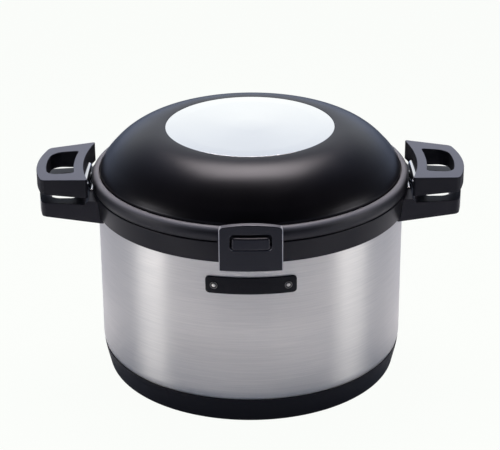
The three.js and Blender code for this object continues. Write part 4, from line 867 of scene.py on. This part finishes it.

# Satin ABS: dark and soft below, with a wide grey gleam along its crest that is painted into its
# colour as a painted highlight
rim_abs = painted_top_sheen(moulded("satin_abs_with_painted_crest_sheen", "#151519", 0.46, 0.2, pitted=0.01, ior=1.4),
                 "#78777b", 0.25, 0.95, 0.46)
bm = turned(drawn([
    (127.6, rim_foot), (136.2, rim_foot), (136.8, rim_low, 0.4), (138.9, rim_low, 0.3),
    (139.16, 174.88), (131.04, 178.67, 55, 12), (134.9, 180.9, 60, 12),  # the rounded crest
    (groove_radius, 185.2, 0.6), (groove_radius, rim_top), (127.6, rim_top)]))
knuckle = pushed(drawn([
    (136.2, 175.1), (hinge_y, 174.1), (hinge_y, hinge_z, 180, 24), (140.3, 182.4, 0.8),
    (136.2, 182.4)]), -knuckle_half, knuckle_half, "X")
bm = worked(bm, knuckle, "UNION")
tongue = worked(block((-striker_half, -136.6, 163), (striker_half, -134.6, 178.3)),
                block((-striker_window_half, -143, 164.7), (striker_window_half, -128, 168.7)))
bm = worked(bm, tongue, "UNION")
for low, high in ((-27.2, -knuckle_half), (knuckle_half, 27.2)):
    bm = worked(bm, block((low, 135.9, 167), (high, 152, 191)))
bm = worked(bm, rod(pin_bore, (-24, hinge_y, hinge_z), 48, "X"))
rim = made("lid_ring", bm, rim_abs)
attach(rim, "lid")
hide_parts("lid_rim")

# Lid dome. Satin ABS cover clipped into the ring: a short upright skirt, a steep cone and one broad
# round over to the recess for the disc.

dome_foot, dome_crown, recess_radius, recess_depth = 181.3, 222.8, 74.4, 221.5
round_x, round_z = 74.7, 158.8  # centre of the broad round

# Satin ABS: almost black, with the light over it spread into a wide grey bloom
dome_abs = moulded("satin_black_abs", "#0b090c", 0.32, 0.3, ior=1.38)
dome = made("dome_cover", turned(drawn([
    (132.6, dome_foot), (132.6, 187.4, 0.6), (129, 194.14, 4), (122.26, 201.62),  # skirt and cone
    (round_x, round_z, 48, 24),
    (recess_radius, dome_crown, 0.15), (recess_radius, recess_depth), (0, recess_depth),
    (0, 219), (74.1, 219), (74.7, 220.3), (round_x, round_z, -48, 24),  # inside
    (130.1, 188.4), (130.1, dome_foot)])), dome_abs)
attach(dome, "lid")
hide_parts("lid_dome")

# Lid disc. Polished steel disc glued into the dome's recess, very slightly crowned. It is left
# bare.

disc_radius, disc_low, disc_edge, disc_crown = 74.1, 221.8, 222.7, 223.4

# Stainless steel buffed to a mirror: it shows the pale backdrop as clear bluish white. Its faint
# waves are about 40 mm across.
mirror, tree, shader = finish("mirror_stainless_steel", Metallic=1.0)
place = add(tree, "ShaderNodeTexCoord").outputs["Object"]
waves = add(tree, "ShaderNodeTexNoise", Vector=place, Scale=25.0, Detail=2.0).outputs[0]
mottled(tree, shader, waves, colour("#f4f5f7"), colour("#f7f8fa"), 0.06, 0.08)
disc = made("polished_disc", turned(drawn([
    (0, disc_low), (73.8, disc_low), (disc_radius, 222.1), (disc_radius, disc_edge, 0.2),
    (37, 223.25, 25), (0, disc_crown)], close=False)), mirror)
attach(disc, "lid")
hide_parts("lid_disc")

# Under the lid. Foam filling, hidden, and the pressed steel plate that covers it, with a well over
# the pot lid's knob. Four screws through the plate hold the whole lid together.

well_radius, well_top = 35, 208.6
screw_circle, screw_z = 131, 176.6

# Polyurethane foam: cream and matt, with cells about 0.8 mm across
foam, tree, shader = finish("polyurethane_foam", Base_Color=colour("#e6e2d6"))
cells = add(tree, "ShaderNodeTexVoronoi", Scale=1200.0,
            Vector=add(tree, "ShaderNodeTexCoord").outputs["Object"]).outputs[0]
matt = add(tree, "ShaderNodeMapRange", Value=cells, To_Min=0.8, To_Max=1.0)
tree.links.new(matt.outputs[0], shader.inputs["Roughness"])
dressed(foam, "lid_foam")

bm = turned(drawn([
    (133.4, 177.7), (127.6, 177.7, 0.6), (126, 184.6, 1.6), (122.8, 187, 2.5),  # rim and step
    (60, 198.4, 10), (41, 200.8, 3), (well_radius, well_top, 3), (0, well_top)],
    close=False), inner_steps)
bmesh.ops.solidify(bm, geom=bm.faces[:], thickness=-lid_sheet / 1000)
inner = made("pressed_inner_plate", bm, pot_satin)
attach(inner, "lid")
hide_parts("lid_inner_plate")
for number in range(4):
    angle = math.radians(45 + 90 * number)
    seat = (screw_circle * math.cos(angle), screw_circle * math.sin(angle), screw_z)
    bm = pan_screw(3)
    bmesh.ops.translate(bm, verts=bm.verts, vec=Vector(seat) / 1000)
    screw = made(f"plate_screw_{number + 1}", bm, turned_steel)
    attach(screw, "lid")
    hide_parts(f"lid_screw_{number + 1}")
